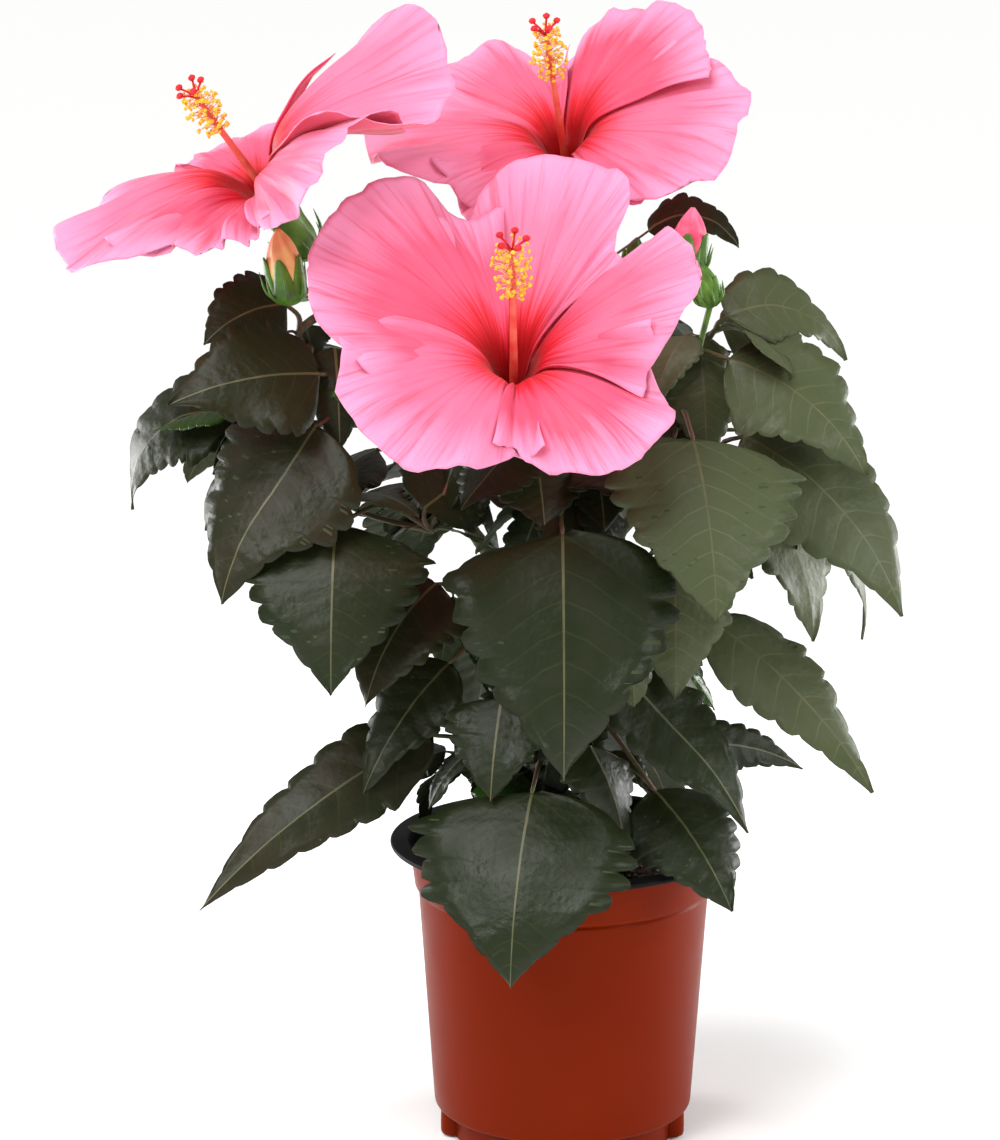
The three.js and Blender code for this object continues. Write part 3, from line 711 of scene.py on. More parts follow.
def waxy(name, low, high, roughness, size=11.11):
    """Waxy plant skin whose colour wanders softly between two shades, in patches of a size in
    millimetres."""
    material, tree, shader = new_material(name, {
        "Base Color": linear(low), "Roughness": roughness, "IOR": 1.42,
        "Specular IOR Level": 0.5})
    place = add_node(tree, "ShaderNodeTexCoord").outputs["Object"]
    patch = add_node(tree, "ShaderNodeTexNoise", inputs={
        "Vector": place, "Scale": pattern_scale(size), "Detail": 5.0})
    ramp = add_node(tree, "ShaderNodeValToRGB", inputs={0: patch.outputs["Fac"]}, stops=[
        (0.35, linear(low)), (0.65, linear(high))])
    bump = add_node(tree, "ShaderNodeBump", inputs={
        "Strength": 0.3, "Distance": 0.3 * MM, "Height": patch.outputs["Fac"]})
    tree.links.new(ramp.outputs[0], shader.inputs["Base Color"])
    tree.links.new(bump.outputs[0], shader.inputs["Normal"])
    return material


FINISH = {}


def make_finishes(scene):
    """Every finish once, by its short name."""
    pot = scene.hibiscus_pot
    FINISH.update({
        # Moulded plastic: a red-brown shell with a satin shine, and a black lining.
        "shell": polypropylene("terracotta_polypropylene", tuple(pot.shell_color), 0.36),
        "lining": polypropylene("black_polypropylene", tuple(pot.lining_color), 0.42),
        # Damp peat drinks the light; bark crumbs are paler, and perlite is a matt off-white.
        "soil": grainy("moist_peat", "#120c09", "#3a2a1e", 0.95, 2.381, 1.2),
        "crumb": grainy("bark_crumbs", "#1d130d", "#4b3625", 0.9, 3.333, 0.6),
        "perlite": grainy("perlite", "#8d8881", "#d8d4cc", 0.9, 1.1111, 0.4),
        "bark": young_bark(),
        "stalk": waxy("green_stalk", "#3c4a22", "#5b3a2c", 0.5, 16.67),
        # Waxed upper faces: old leaves dark or grey-green, young ones fresh and shinier. The
        # underside is dull, and the midrib a smooth olive.
        "dark": leaf_face("dark_leaf", "#1f2612", "#2d2616", "#49532c", 0.4),
        "grey": leaf_face("grey_green_leaf", "#434a30", "#555a42", "#858a64", 0.42),
        "fresh": leaf_face("fresh_leaf", "#24400f", "#33461a", "#68883e", 0.24),
        "under": leaf_face("leaf_underside", "#333d24", "#40422e", "#66744c", 0.6),
        "rib": waxy("leaf_midrib", "#454a2c", "#5a5638", 0.45),
        # Thin satin petals, pink inside and coral on the back.
        "petal": petal_skin("pink_petal", "#a0040a", "#d81226", "#dc4c6c", "#ea8cb2", 0.5, 0.36),
        "petal_back": petal_skin(
            "coral_petal_back", "#cc3f38", "#d9454e", "#dc4c64", "#e4647f", 0.58, 0.3),
        # The column is smooth and fleshy, its pollen powdery and its stigma pads like velvet.
        "column": waxy("column_flesh", "#dc4038", "#e8735f", 0.5, 7.143),
        "anther": grainy("pollen", "#f0a81c", "#ffd64a", 0.8, 1.1111, 0.3),
        "filament": waxy("filament", "#f3b48c", "#f7cf9a", 0.5, 7.143),
        "stigma": waxy("stigma_velvet", "#b80c18", "#dd2630", 0.7, 2.0),
        # Sepals are a smooth bright green; petals that fade turn dull, pink or cream.
        "calyx": waxy("calyx_green", "#33550f", "#557f22", 0.42, 8.333),
        "spent": waxy("spent_petals", "#d23a5c", "#ea7fa2", 0.62),
        "cream": waxy("fading_bud", "#dcbc6c", "#e2946a", 0.6),
    })


# ------------------------------------------------------------------ pot and soil

# Sizes of the pot are in millimetres.
POT_SIDES = 180
POT_FEET = 5
RING_RADIUS = 43.5                # from the axis to the middle of a foot
RING_INSIDE, RING_OUTSIDE = 38, 44
SLOT_HEIGHT = 2.4                 # of the slots in the foot ring, halfway between the feet
SLOT_OPEN, SLOT_SHUT = 2.4, 3.6   # from a slot's middle, where its sloping end starts and ends
FOOT_SIDES = 28
# Height and radius of a foot's rings, from inside the pot's wall down to its sole.
FOOT_RINGS = ((10.2, 4.4), (6, 4.5), (2.2, 4.5), (1.1, 4.2), (0.6, 3.4), (0.5, 0.1))
LONGEST_STEP = 9                  # between two points of the pot's section

# Corners of the pot's section, [radius, height] in millimetres, from the middle of the underside
# up the outside, over the lip and down the inside, with the rounding at each corner.
POT_OUTSIDE = [
    (0, 0, 0), (22, 0, 0.6), (23.5, 3, 0.6), (37, 3, 0.6), (38.5, 0, 0.6), (43.5, 0, 0.8),
    (43.9, 9, 0.5), (48.6, 10, 1.6), (54.4, 93.6, 0.5), (53.7, 94.5, 0.4), (55.8, 95.6, 0.8),
    (57.5, 109.7, 0.6), (58.3, 110.8, 0.5)]
POT_LIP = [
    (58.3, 110.8, 0), (64.6, 111.0, 0.6), (65.0, 112.2, 0.4), (64.4, 113, 0.5), (58.2, 113, 0.8),
    (55.7, 109, 0.6), (52.6, 94, 1.0), (46.8, 10, 0.8), (41.5, 6, 0.8), (0, 6, 0)]


def rounded(corners, steps=4):
    """Section through corners, each rounded to its own radius by a short curve."""
    line = [Vector(corners[0][:2])]
    for before, here, after in zip(corners, corners[1:], corners[2:]):
        a, b, c = Vector(before[:2]), Vector(here[:2]), Vector(after[:2])
        reach = min(here[2], (a - b).length / 2, (c - b).length / 2)
        start, end = b + (a - b).normalized() * reach, b + (c - b).normalized() * reach
        for i in range(steps + 1):
            t = i / steps
            line.append(start * (1 - t) ** 2 + b * (2 * t * (1 - t)) + end * t ** 2)
    line.append(Vector(corners[-1][:2]))
    filled = [line[0]]
    for point in line[1:]:
        gap = (point - filled[-1]).length
        pieces = max(1, math.ceil(gap / LONGEST_STEP))
        start = filled[-1]
        for i in range(1, pieces + 1):
            filled.append(start.lerp(point, i / pieces))
    return filled


class HIBISCUS_OT_pot(bpy.types.Operator):
    """Build the moulded pot with its lip, groove, feet and the slots between them"""

    bl_idname = "hibiscus.pot"
    bl_label = "Pot"

    def execute(self, context):
        shape = Shape()
        outside = rounded(POT_OUTSIDE)
        section = outside + rounded(POT_LIP)[1:]
        step = 2 * math.pi / POT_FEET
        rows = []
        for spot in section:
            row = []
            for k in range(POT_SIDES):
                turn = 2 * math.pi * k / POT_SIDES
                height = spot.y
                if RING_INSIDE < spot.x < RING_OUTSIDE and height < SLOT_HEIGHT:
                    slot = abs((turn + math.pi / 2 - step / 2) % step)
                    off = min(slot, step - slot) * RING_RADIUS
                    height = max(height, SLOT_HEIGHT * smooth(SLOT_SHUT, SLOT_OPEN, off))
                row.append(Vector((spot.x * math.cos(turn), spot.x * math.sin(turn), height)) * MM)
            rows.append(row)
        reach = len(outside)
        shape.grid(rows, lambda r, c: 0 if r < reach else 1, closed=True, flip=True)
        for i in range(POT_FEET):
            turn = -math.pi / 2 + i * step
            out = Vector((math.cos(turn), math.sin(turn), 0))
            across = Vector((-out.y, out.x, 0))
            foot = []
            for z, radius in FOOT_RINGS:
                foot.append([(out * (RING_RADIUS + radius * math.cos(a))
                              + across * radius * math.sin(a) + UP * z) * MM
                             for a in (2 * math.pi * k / FOOT_SIDES for k in range(FOOT_SIDES))])
            shape.grid(foot, 0, closed=True)
        shape.piece("pot_shell", [FINISH["shell"], FINISH["lining"]], "pot", ["pot"])
        return {"FINISHED"}


SOIL_RADIUS = 53.4 * MM
SOIL_RINGS, SOIL_SIDES = 46, 150
SOIL_SINK = 0.9 * MM              # from the top of the CAD soil to the looks' mean surface
SOIL_EDGE = 14 * MM               # how far down the soil's edge follows the pot's wall
GRAIN_REACH = 51.5 * MM           # crumbs and perlite lie within this radius


def soil_height(x, y, top):
    """Height of the soil's surface, with lumps of a few millimetres."""
    spot = Vector((x, y, 0))
    return top + 1.1 * MM * rough(spot, 11 * MM, 3) + 0.7 * MM * rough(spot, 3.5 * MM, 9)


class HIBISCUS_OT_soil(bpy.types.Operator):
    """Build the moist soil with its crumbs and perlite"""

    bl_idname = "hibiscus.soil"
    bl_label = "Soil"

    def execute(self, context):
        _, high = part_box("soil")
        top = high.z - SOIL_SINK
        shape = Shape()
        rows = []
        for r in range(SOIL_RINGS + 1):
            radius = SOIL_RADIUS * max(0.004, r / SOIL_RINGS)
            row = []
            for k in range(SOIL_SIDES):
                turn = 2 * math.pi * k / SOIL_SIDES
                x, y = radius * math.cos(turn), radius * math.sin(turn)
                row.append(Vector((x, y, soil_height(x, y, top))))
            rows.append(row)
        for share in (0.985, 0.01):
            rows.append([Vector((p.x * share, p.y * share, top - SOIL_EDGE)) for p in rows[-1]])
        shape.grid(rows, 0, closed=True)
        shape.piece("soil_top", [FINISH["soil"]], "soil", ["soil"])

        dealt = random.Random(context.scene.hibiscus_leaf.seed)
        for name, count, sizes, finish in (
                ("soil_crumbs", context.scene.hibiscus_pot.crumbs, (0.5, 2.2), "crumb"),
                ("soil_perlite", context.scene.hibiscus_pot.perlite, (0.4, 1.1), "perlite")):
            grains = Shape()
            for i in range(count):
                turn, out = dealt.uniform(0, 2 * math.pi), GRAIN_REACH * math.sqrt(dealt.random())
                x, y = out * math.cos(turn), out * math.sin(turn)
                size = dealt.uniform(*sizes) ** 1.4 * MM * 0.7
                spin = Matrix.Rotation(dealt.uniform(0, 6), 3, "Z") @ Matrix.Rotation(
                    dealt.uniform(0, 3), 3, "X")
                long = dealt.uniform(1, 2.2) if finish == "crumb" else 1.15
                axes = [spin @ Vector((size * long, 0, 0)), spin @ Vector((0, size * 0.8, 0)),
                        spin @ Vector((0, 0, size * 0.6))]
                centre = Vector((x, y, soil_height(x, y, top) + size * 0.25))
                grains.lump(centre, axes, i * 0.37, 0, rings=3, sides=5, wobble=0.5)
            grains.piece(name, [FINISH[finish]], "soil")
        return {"FINISHED"}


# ------------------------------------------------------------------ trunk, boughs and twigs

WOOD_STEP = 1.6                   # millimetres between two rings of a limb
WOOD_SIDES = 26
SCAR_SPACING, SCAR_START, SCAR_WIDTH = 17, 8, 1.3    # swellings along a limb, in millimetres
TRUNK_SINK = 3 * MM               # how far the trunk's looks go on below its CAD foot


def limb_lines():
    """Middle lines of the trunk and boughs, each bough started inside the limb it leaves."""
    lines = {}
    for name in LIMBS:
        lines[name] = read_limb(name)
    for name in LIMBS[1:]:
        others = {k: v for k, v in lines.items() if k != name}
        first, radius = lines[name][0]
        _, spot = nearest(others, first)
        lines[name] = [(spot, radius)] + lines[name]
    return lines


def refined(points, step):
    """Smooth line through points, sampled about every step."""
    keys = [0.0]
    for a, b in zip(points, points[1:]):
        keys.append(keys[-1] + max(1e-5, (b - a).length))
    count = max(2, math.ceil(keys[-1] / step))
    return [interpolate(keys, points, keys[-1] * i / count) for i in range(count + 1)], keys


class HIBISCUS_OT_wood(bpy.types.Operator):
    """Build the trunk and boughs with their bark"""

    bl_idname = "hibiscus.wood"
    bl_label = "Trunk and boughs"

    def execute(self, context):
        lines = limb_lines()
        shape = Shape()
        for n, name in enumerate(LIMBS):
            points = [p for p, _ in lines[name]]
            path, keys = refined(points, WOOD_STEP * MM)
            radii = [r for _, r in lines[name]]
            widths = [interpolate(keys, radii, keys[-1] * i / (len(path) - 1))
                      for i in range(len(path))]
            if name == "trunk":
                path = [path[0] - UP * TRUNK_SINK] + path
                widths = [widths[0] * 1.05] + widths

            def relief(spot, i, n=n):
                scar = math.exp(-(((i * WOOD_STEP) % SCAR_SPACING - SCAR_START) / SCAR_WIDTH) ** 2)
                return (0.09 * rough(spot, 2.2 * MM, n) + 0.05 * rough(spot, 0.9 * MM, n)
                        + 0.08 * scar)

            shape.tube(path, widths, WOOD_SIDES, 0, relief)
        shape.piece("stem_wood", [FINISH["bark"]], "bark", LIMBS)
        return {"FINISHED"}


# ------------------------------------------------------------------ leaves

# Half width of a leaf along its blade as a share of its greatest: rounded at the stalk, widest a
# third of the way up, drawn out to the tip.
BLADE_KEYS = [0.0, 0.02, 0.06, 0.12, 0.2, 0.3, 0.42, 0.55, 0.67, 0.78, 0.87, 0.94, 1.0]
BLADE_HALF = [0.1, 0.42, 0.7, 0.9, 1.0, 1.0, 0.92, 0.77, 0.58, 0.38, 0.22, 0.09, 0.0]
TEETH = 7
# Rounded outer edge of one tooth and its short step back in: share of the tooth, and its size.
LOBE = [(0.0, 0.0), (0.16, 0.45), (0.4, 0.8), (0.68, 1.0), (0.86, 0.9), (0.96, 0.35)]
ACROSS = [-1, -0.8, -0.6, -0.42, -0.26, -0.12, 0.12, 0.26, 0.42, 0.6, 0.8, 1]
SIDE_VEINS = 7
VEIN_SLANT = 0.75                 # how far up the blade a side vein runs, against how far out
RIB_ACROSS = 0.2                  # points nearer the middle than this are on the midrib
RIB_HALF = 0.55 * MM              # half width of the midrib where the blade starts
RIB_RISE = 0.25 * MM              # by how much the midrib stands up on the upper side
RIB_KEEL = 0.5 * MM               # and hangs below the underside
THINNEST = 0.15 * MM              # half width of the blade at its tip


def blade_rows():
    """Shares along a blade, six for each tooth of the margin, and the tooth's size at each."""
    rows = [(0.0, 0.0), (0.02, 0.0), (0.05, 0.0), (0.085, 0.0), (0.12, 0.0)]
    start, end = 0.15, 0.975      # where the first tooth starts and the last one ends
    for i in range(TEETH):
        for part, size in LOBE:
            rows.append((start + (end - start) * (i + part) / TEETH, size))
    return rows + [(0.985, 0.0), (1.0, 0.0)]


BLADE_ROWS = blade_rows()


def add_leaf(shape, leaf, settings, dealt, front, tile):
    """One toothed, quilted leaf with two faces on the midrib that the plan gives."""
    keys, midrib, faces, half = leaf["keys"], leaf["midrib"], leaf["faces"], leaf["half"]
    length = sum((b - a).length for a, b in zip(midrib, midrib[1:]))
    tone, phase, seed = dealt.random(), dealt.uniform(0, 6.3), dealt.uniform(0, 90)
    wave = dealt.uniform(0.04, 0.12) * half
    cup = dealt.uniform(-0.2, 0.12)
    quilt = settings.quilting * dealt.choice((0.25, 0.4, 0.6, 0.9))
    tops, unders, uvs, places = [], [], [], []
    columns, rows, index = tile
    for share, tooth in BLADE_ROWS:
        centre = interpolate(keys, midrib, share)
        ahead = (interpolate(keys, midrib, min(1, share + 0.03))
                 - interpolate(keys, midrib, max(0, share - 0.03))).normalized()
        face = interpolate(keys, faces, share)
        face = (face - ahead * face.dot(ahead)).normalized()
        side = ahead.cross(face)
        width = half * interpolate(BLADE_KEYS, BLADE_HALF, share)
        width = max(width, THINNEST)
        top, under, uv, place = [], [], [], []
        for t in ACROSS:
            far = abs(t)
            on_rib = far < RIB_ACROSS
            rib = RIB_HALF * (1 - 0.7 * share)
            reach = t * width
            if far == 1:
                reach *= 1 + settings.tooth * tooth * smooth(0, 0.1, share) * (
                    1 + 0.9 * noise.noise(Vector((share * 9, t, seed))))
            reach *= 1 + 0.13 * far * noise.noise(
                Vector((share * 3.7, math.copysign(3, t), seed)))
            if on_rib:
                reach = math.copysign(min(rib, width * 0.5), t)
            vein = share * (SIDE_VEINS + 1) - far * width / length * (SIDE_VEINS + 1) * VEIN_SLANT
            swell = abs(math.sin(math.pi * vein)) ** 0.7 - 0.45
            inside = smooth(0.02, 0.3, far) * smooth(1.02, 0.75, far)
            lift = (-0.1 * far * width + cup * far * far * width
                    + quilt * swell * inside * min(1, width / (14 * MM))
                    + wave * far ** 2.5 * math.sin(share * 11 + phase + (2 if t < 0 else 0))
                    + 0.35 * MM * rough(centre + side * reach, 4 * MM, seed) * far)
            if on_rib:
                lift += RIB_RISE
            spot = centre + side * reach + face * lift
            top.append(spot)
            under.append(spot - face * (settings.thickness * (1 - 0.6 * far)
                                        + (RIB_KEEL * (1 - share) if on_rib else 0)))
            place.append((vein, far, tone))
            cell = ((index % columns + 0.02 + 0.96 * (t + 1) / 2) / columns,
                    (index // columns + 0.02 + 0.96 * share) / rows)
            uv.append(cell)
        tops.append(top)
        unders.append(under)
        uvs.append(uv)
        places.append(place)
    middle = ACROSS.index(-0.12)
    last = len(ACROSS) - 1
    front_uv = [[(u / 2, v) for u, v in row] for row in uvs]
    back_uv = [[(0.5 + u / 2, v) for u, v in row] for row in uvs]
    a = shape.grid(tops, lambda r, c: 2 if c == middle else front, uvs=front_uv, places=places)
    b = shape.grid(unders, lambda r, c: 2 if c == middle else 1, uvs=back_uv, places=places,
                   flip=True)
    count = len(tops)
    wide = len(ACROSS)
    for r in range(count - 1):
        p = r * wide
        shape.face([a + p, a + p + wide, b + p + wide, b + p], front)
        p += last
        shape.face([a + p + wide, a + p, b + p, b + p + wide], front)
    for r in (0, count - 1):
        for c in range(last):
            p = r * wide + c
            corners = [a + p, a + p + 1, b + p + 1, b + p]
            shape.face(corners if r else corners[::-1], front)


def arching_leaf(base, heading, dip, length, half, bend, roll=0.0):
    """Plan of a leaf from its stalk's end, heading and dip in degrees."""
    keys = list(LEAF_SHARES)
    midrib, faces, steps = [base.copy()], [], 20
    point = base.copy()
    level = Vector((-math.sin(math.radians(heading)), math.cos(math.radians(heading)), 0))
    at = 1
    for i in range(steps + 1):
        slope = math.radians(dip + bend * (0.5 - i / steps))
        ahead = Vector((math.cos(slope) * math.cos(math.radians(heading)),
                        math.cos(slope) * math.sin(math.radians(heading)), math.sin(slope)))
        side = Matrix.Rotation(math.radians(roll), 3, ahead) @ level
        if i == 0:
            faces.append(ahead.cross(side))
        point = point + ahead * (length / steps) if i < steps else point
        while at < len(keys) and (i + 1) / steps >= keys[at] - 1e-6:
            midrib.append(point.copy())
            faces.append(ahead.cross(side))
            at += 1
    return {"keys": keys, "midrib": midrib, "faces": faces, "half": half, "hub": None}


def stalk(shape, start, end, aim, width, finish):
    """Slim stalk that leaves its twig sideways and meets the leaf along its midrib."""
    reach = (end - start).length
    keys = [0.0, 0.5, 1.0]
    middle = (start + end) / 2 - aim * reach * 0.18 + UP * reach * 0.06
    path = [interpolate(keys, [start, middle, end + aim * 0.6 * MM], i / 8) for i in range(9)]
    shape.tube(path, [width * (1.25 - 0.45 * i / 8) for i in range(9)], 7, finish)


# Leaves that fill the crown between its shoots: the shoot, where the blade starts from the
# shoot's box, its heading, dip, bend and roll in degrees, its length and half width in
# millimetres, and whether it is a fresh green one.
INNER_LEAVES = [
    ("shoot_rear_high", (1, 0, 1), (-24, -23, 22), -12, -12, 110, 55, 40, 8, False),
    ("shoot_left", (1, 0.5, 1), (-38, -2, 8), -80, -70, 40, 0, 38, 12, False),
    ("shoot_right", (0.5, 1, 1), (-2, -11, 16), -60, -70, 40, 0, 38, 11, False),
    ("skirt_right", (0.5, 1, 1), (-10, -17, 2), 10, -50, 30, 40, 38, 9, True),
    ("shoot_inner_left", (1, 1, 1), (-21, 13, -14), -30, -65, 30, 0, 44, 9, True),
    ("shoot_left_low", (1, 1, 1), (-9, -11, 8), 215, -70, 40, 0, 34, 12, False),
    ("shoot_front", (0.5, 1, 1), (0, 2, -6), -80, -75, 40, 0, 34, 13, False),
]


# Ranges of the young leaves that are dealt along each shoot: first of one that stands out, then
# of one that hangs. Lengths are in millimetres, a lift is how steeply the stalk rises, and dips
# are in degrees.
YOUNG_LENGTH = ((20, 40), (34, 52))
YOUNG_LIFT = ((-0.1, 0.6), (-0.1, 0.25))
YOUNG_DIP = ((-50, -15), (-78, -50))
SMALL_HALF = 11 * MM              # a leaf of less than this half width counts as small
TWIG_STEP = 2.5 * MM


class HIBISCUS_OT_leaves(bpy.types.Operator):
    """Build the twigs and the toothed leaves of every shoot"""

    bl_idname = "hibiscus.leaves"
    bl_label = "Leafy shoots"

    def execute(self, context):
        settings = context.scene.hibiscus_leaf
        lines = limb_lines()
        for n, name in enumerate(SHOOTS):
            dealt = random.Random(settings.seed * 101 + n)
            leaves = read_shoot(name)
            hubs = [leaf["hub"] for leaf in leaves if leaf["hub"]]
            if not hubs:
                hubs = [leaf["midrib"][0] for leaf in leaves]
            first = min(hubs, key=lambda h: nearest(lines, h)[0])
            _, start = nearest(lines, first)
            hubs.sort(key=lambda h: (h - start).length)
            for leaf in leaves:
                if not leaf["hub"]:
                    leaf["hub"] = min(hubs, key=lambda h: (h - leaf["midrib"][0]).length)
            twig = Shape()
            path, keys = refined([start] + hubs, TWIG_STEP)
            twig.tube(path, [(1.9 - 0.9 * i / (len(path) - 1)) * MM for i in range(len(path))],
                      10, 0, lambda spot, i: 0.12 * rough(spot, 2 * MM, 4))
            away = (hubs[-1] - start).normalized()
            for k in range(settings.extra):
                at = interpolate(keys, [start] + hubs, keys[-1] * dealt.uniform(0.35, 1.0))
                heading = math.degrees(math.atan2(away.y, away.x)) + dealt.uniform(-140, 140)
                hung = k % 2
                size = dealt.uniform(*YOUNG_LENGTH[hung]) * MM
                flat = Vector((math.cos(math.radians(heading)), math.sin(math.radians(heading)), 0))
                lift = dealt.uniform(*YOUNG_LIFT[hung])
                end = at + (flat * 0.8 + UP * lift) * dealt.uniform(9, 18) * MM
                dip = dealt.uniform(*YOUNG_DIP[hung])
                young = arching_leaf(end, heading, dip, size,
                                     size * dealt.uniform(0.27, 0.34), dealt.uniform(20, 60),
                                     dealt.uniform(-30, 30))
                young["hub"] = at
                leaves.append(young)
            for node, share, offset, heading, dip, bend, roll, length, half, fresh in INNER_LEAVES:
                if node == name:
                    young = arching_leaf(beside(node, share, offset), heading, dip, length * MM,
                                         half * MM, bend, roll)
                    young["hub"] = min(hubs, key=lambda h: (h - young["midrib"][0]).length)
                    young["fresh"] = fresh
                    leaves.append(young)
            kind = "grey" if "right" in name and dealt.random() < 0.7 else "dark"
            shape = Shape()
            columns = math.ceil(math.sqrt(len(leaves)))
            for i, leaf in enumerate(leaves):
                small = leaf["half"] < SMALL_HALF
                front = 3 if leaf.get("fresh") or small and dealt.random() < 0.45 else 0
                add_leaf(shape, leaf, settings, dealt, front, (columns, columns, i))
                aim = (leaf["midrib"][1] - leaf["midrib"][0]).normalized()
                stalk(twig, leaf["hub"], leaf["midrib"][0], aim,
                      (0.55 if small else 0.95) * MM, 1)
            shape.piece(name + "_leaves",
                        [FINISH[kind], FINISH["under"], FINISH["rib"], FINISH["fresh"]],
                        "leaf", [name])
            twig.piece(name + "_twigs", [FINISH["bark"], FINISH["stalk"]], "bark")
        return {"FINISHED"}


# ------------------------------------------------------------------ blooms

# Angle of each petal's middle round its bloom, in degrees, as the frame's corollas have them.
PETALS = {
    "bloom_front": (-146, -69, 27, 72, 140),
    "bloom_left": (-122, -76, 50, 105, 156),
    "bloom_back": (-108, -52, 18, 104, 176),
}
PETAL_ROWS, PETAL_COLUMNS = 40, 44
PETAL_OVERLAP = 1.34              # width of a petal against its share of the round
SEPALS = 5
CUP_SIDES = 60
# Sizes of the calyx are in millimetres. Its profile gives shares of the way up and the radius
# there.
CALYX_PROFILE = ([0, 0.15, 0.4, 0.7, 1], [1.9, 4.0, 6.2, 6.4, 7.6])
CALYX_ROWS = 12
CALYX_BASE, CALYX_HEIGHT = -25, 26    # the base is counted from the corolla's foot
SEPAL_POINT = 8                   # by how much a sepal's tip rises past the gaps beside it
CALYX_WALL = 0.7
CALYX_BRACTS = 7
CALYX_FOOT = 23                   # from the corolla's foot down to the calyx's stalk
COLUMN_ROWS = 26
CROWN_SHARE = 0.93                # of the column's length, up to where its styles part
ANTHER_START, ANTHER_SPAN = 0.62, 0.3    # where the anthers begin, and over how much of it
GOLDEN_ANGLE = 2.39996            # radians from one anther to the next
STYLES = 5


def bract(shape, spots, width):
    """Narrow leaf that bends through three spots and runs out to a point, from a half width in
    millimetres."""
    path = [interpolate([0, 0.5, 1], spots, i / 8) for i in range(9)]
    shape.tube(path, [(width - (width - 0.1) * (i / 8) ** 2) * MM for i in range(9)], 6, 0)


def footstalk(shape, lines, foot, axis, share, sunk, width, sides):
    """Stalk from the nearest limb up to a flower's foot and on into it along the axis."""
    _, near = nearest(lines, foot)
    bend = near.lerp(foot, share) - axis * 2 * MM
    path, _ = refined([near, bend, foot + axis * sunk * MM], 2 * MM)
    shape.tube(path, [width * MM] * len(path), sides, 0)


def petal_shape(lines, axes, angles, which, settings, seed):
    """One petal as a front and back skin on the corolla's sheet, ruffled at its rim."""
    base, axis, upper, right = axes
    here = angles[which]
    before = (here - angles[which - 1]) % 360
    after = (angles[(which + 1) % len(angles)] - here) % 360
    offset = Vector((seed * 7.1, seed * 3.3, 0))
    corner = 0.6 * math.sin(seed * 2.3)

    def spot(u, v):
        wide = (before if u < 0 else after) * 0.5 * PETAL_OVERLAP
        spread = wide * (0.72 + 0.28 * smooth(0.0, 0.5, v))
        angle = here + u * spread
        end = 1 - 0.17 * abs(u) ** 3 + 0.06 * noise.noise(Vector((u * 2.9, seed, 0)))
        end += 0.022 * noise.noise(Vector((u * 12, seed, 4)))
        end += 0.05 * math.exp(-((u - corner) / 0.13) ** 2)
        out, up = sheet_at(lines, angle, min(1.0, v * end) * 0.995)
        return base + around(upper, right, math.radians(angle)) * out + axis * up

    rows = []
    for r in range(PETAL_ROWS + 1):
        v = r / PETAL_ROWS
        rows.append([spot(-1 + 2 * c / PETAL_COLUMNS, v) for c in range(PETAL_COLUMNS + 1)])
    fronts, backs, places, uvs = [], [], [], []
    for r in range(PETAL_ROWS + 1):
        v = r / PETAL_ROWS
        front, back, place, uv = [], [], [], []
        for c in range(PETAL_COLUMNS + 1):
            u = -1 + 2 * c / PETAL_COLUMNS
            along = rows[min(r + 1, PETAL_ROWS)][c] - rows[max(r - 1, 0)][c]
            across = rows[r][min(c + 1, PETAL_COLUMNS)] - rows[r][max(c - 1, 0)]
            normal = across.cross(along)
            normal = normal.normalized() if normal.length > 1e-12 else axis
            if normal.dot(axis) < 0:
                normal = -normal
            rim = smooth(0.45, 1.0, v)
            ruffle = settings.ruffle * rim * (
                noise.noise(Vector((u * 3.1, v * 1.3, 0)) + offset) * 1.4
                + 0.5 * noise.noise(Vector((u * 7.3, v * 2.2, 5)) + offset))
            crease = 0.0014 * smooth(0.2, 0.7, v) * noise.noise(
                Vector((u * 11, v * 2.4, 9)) + offset)
            crease += 0.0022 * rim * (abs(math.sin(u * 9 + seed)) ** 0.6 - 0.6) * smooth(
                0.72, 1.0, v)
            layer = 0.0013 * u * smooth(0.08, 0.4, v)
            place_here = rows[r][c] + normal * (ruffle + crease + layer)
            half = settings.thickness / 2 * (1 - 0.5 * rim)
            front.append(place_here + normal * half)
            back.append(place_here - normal * half)
            place.append((u, v, seed * 0.618 % 1))
            uv.append((0.01 + 0.48 * (u + 1) / 2, 0.01 + 0.98 * v))
        fronts.append(front)
        backs.append(back)
        places.append(place)
        uvs.append(uv)
    shape = Shape()
    r, c = PETAL_ROWS // 2, PETAL_COLUMNS // 2
    flip = (fronts[r][c] - backs[r][c]).dot(
        (fronts[r][c + 1] - fronts[r][c]).cross(fronts[r + 1][c] - fronts[r][c])) < 0
    a = shape.grid(fronts, 0, uvs=uvs, places=places, flip=flip)
    b = shape.grid(backs, 1, uvs=[[(u + 0.5, v) for u, v in row] for row in uvs],
                   places=places, flip=not flip)
    wide = PETAL_COLUMNS + 1
    edge = [(r, 0) for r in range(PETAL_ROWS)] + [(PETAL_ROWS, c) for c in range(PETAL_COLUMNS)]
    edge += [(r, PETAL_COLUMNS) for r in range(PETAL_ROWS, 0, -1)]
    edge += [(0, c) for c in range(PETAL_COLUMNS, 0, -1)]
    for (r, c), (s, d) in zip(edge, edge[1:] + edge[:1]):
        p, q = r * wide + c, s * wide + d
        corners = [a + p, a + q, b + q, b + p]
        shape.face(corners[::-1] if flip else corners, 0)
    return shape


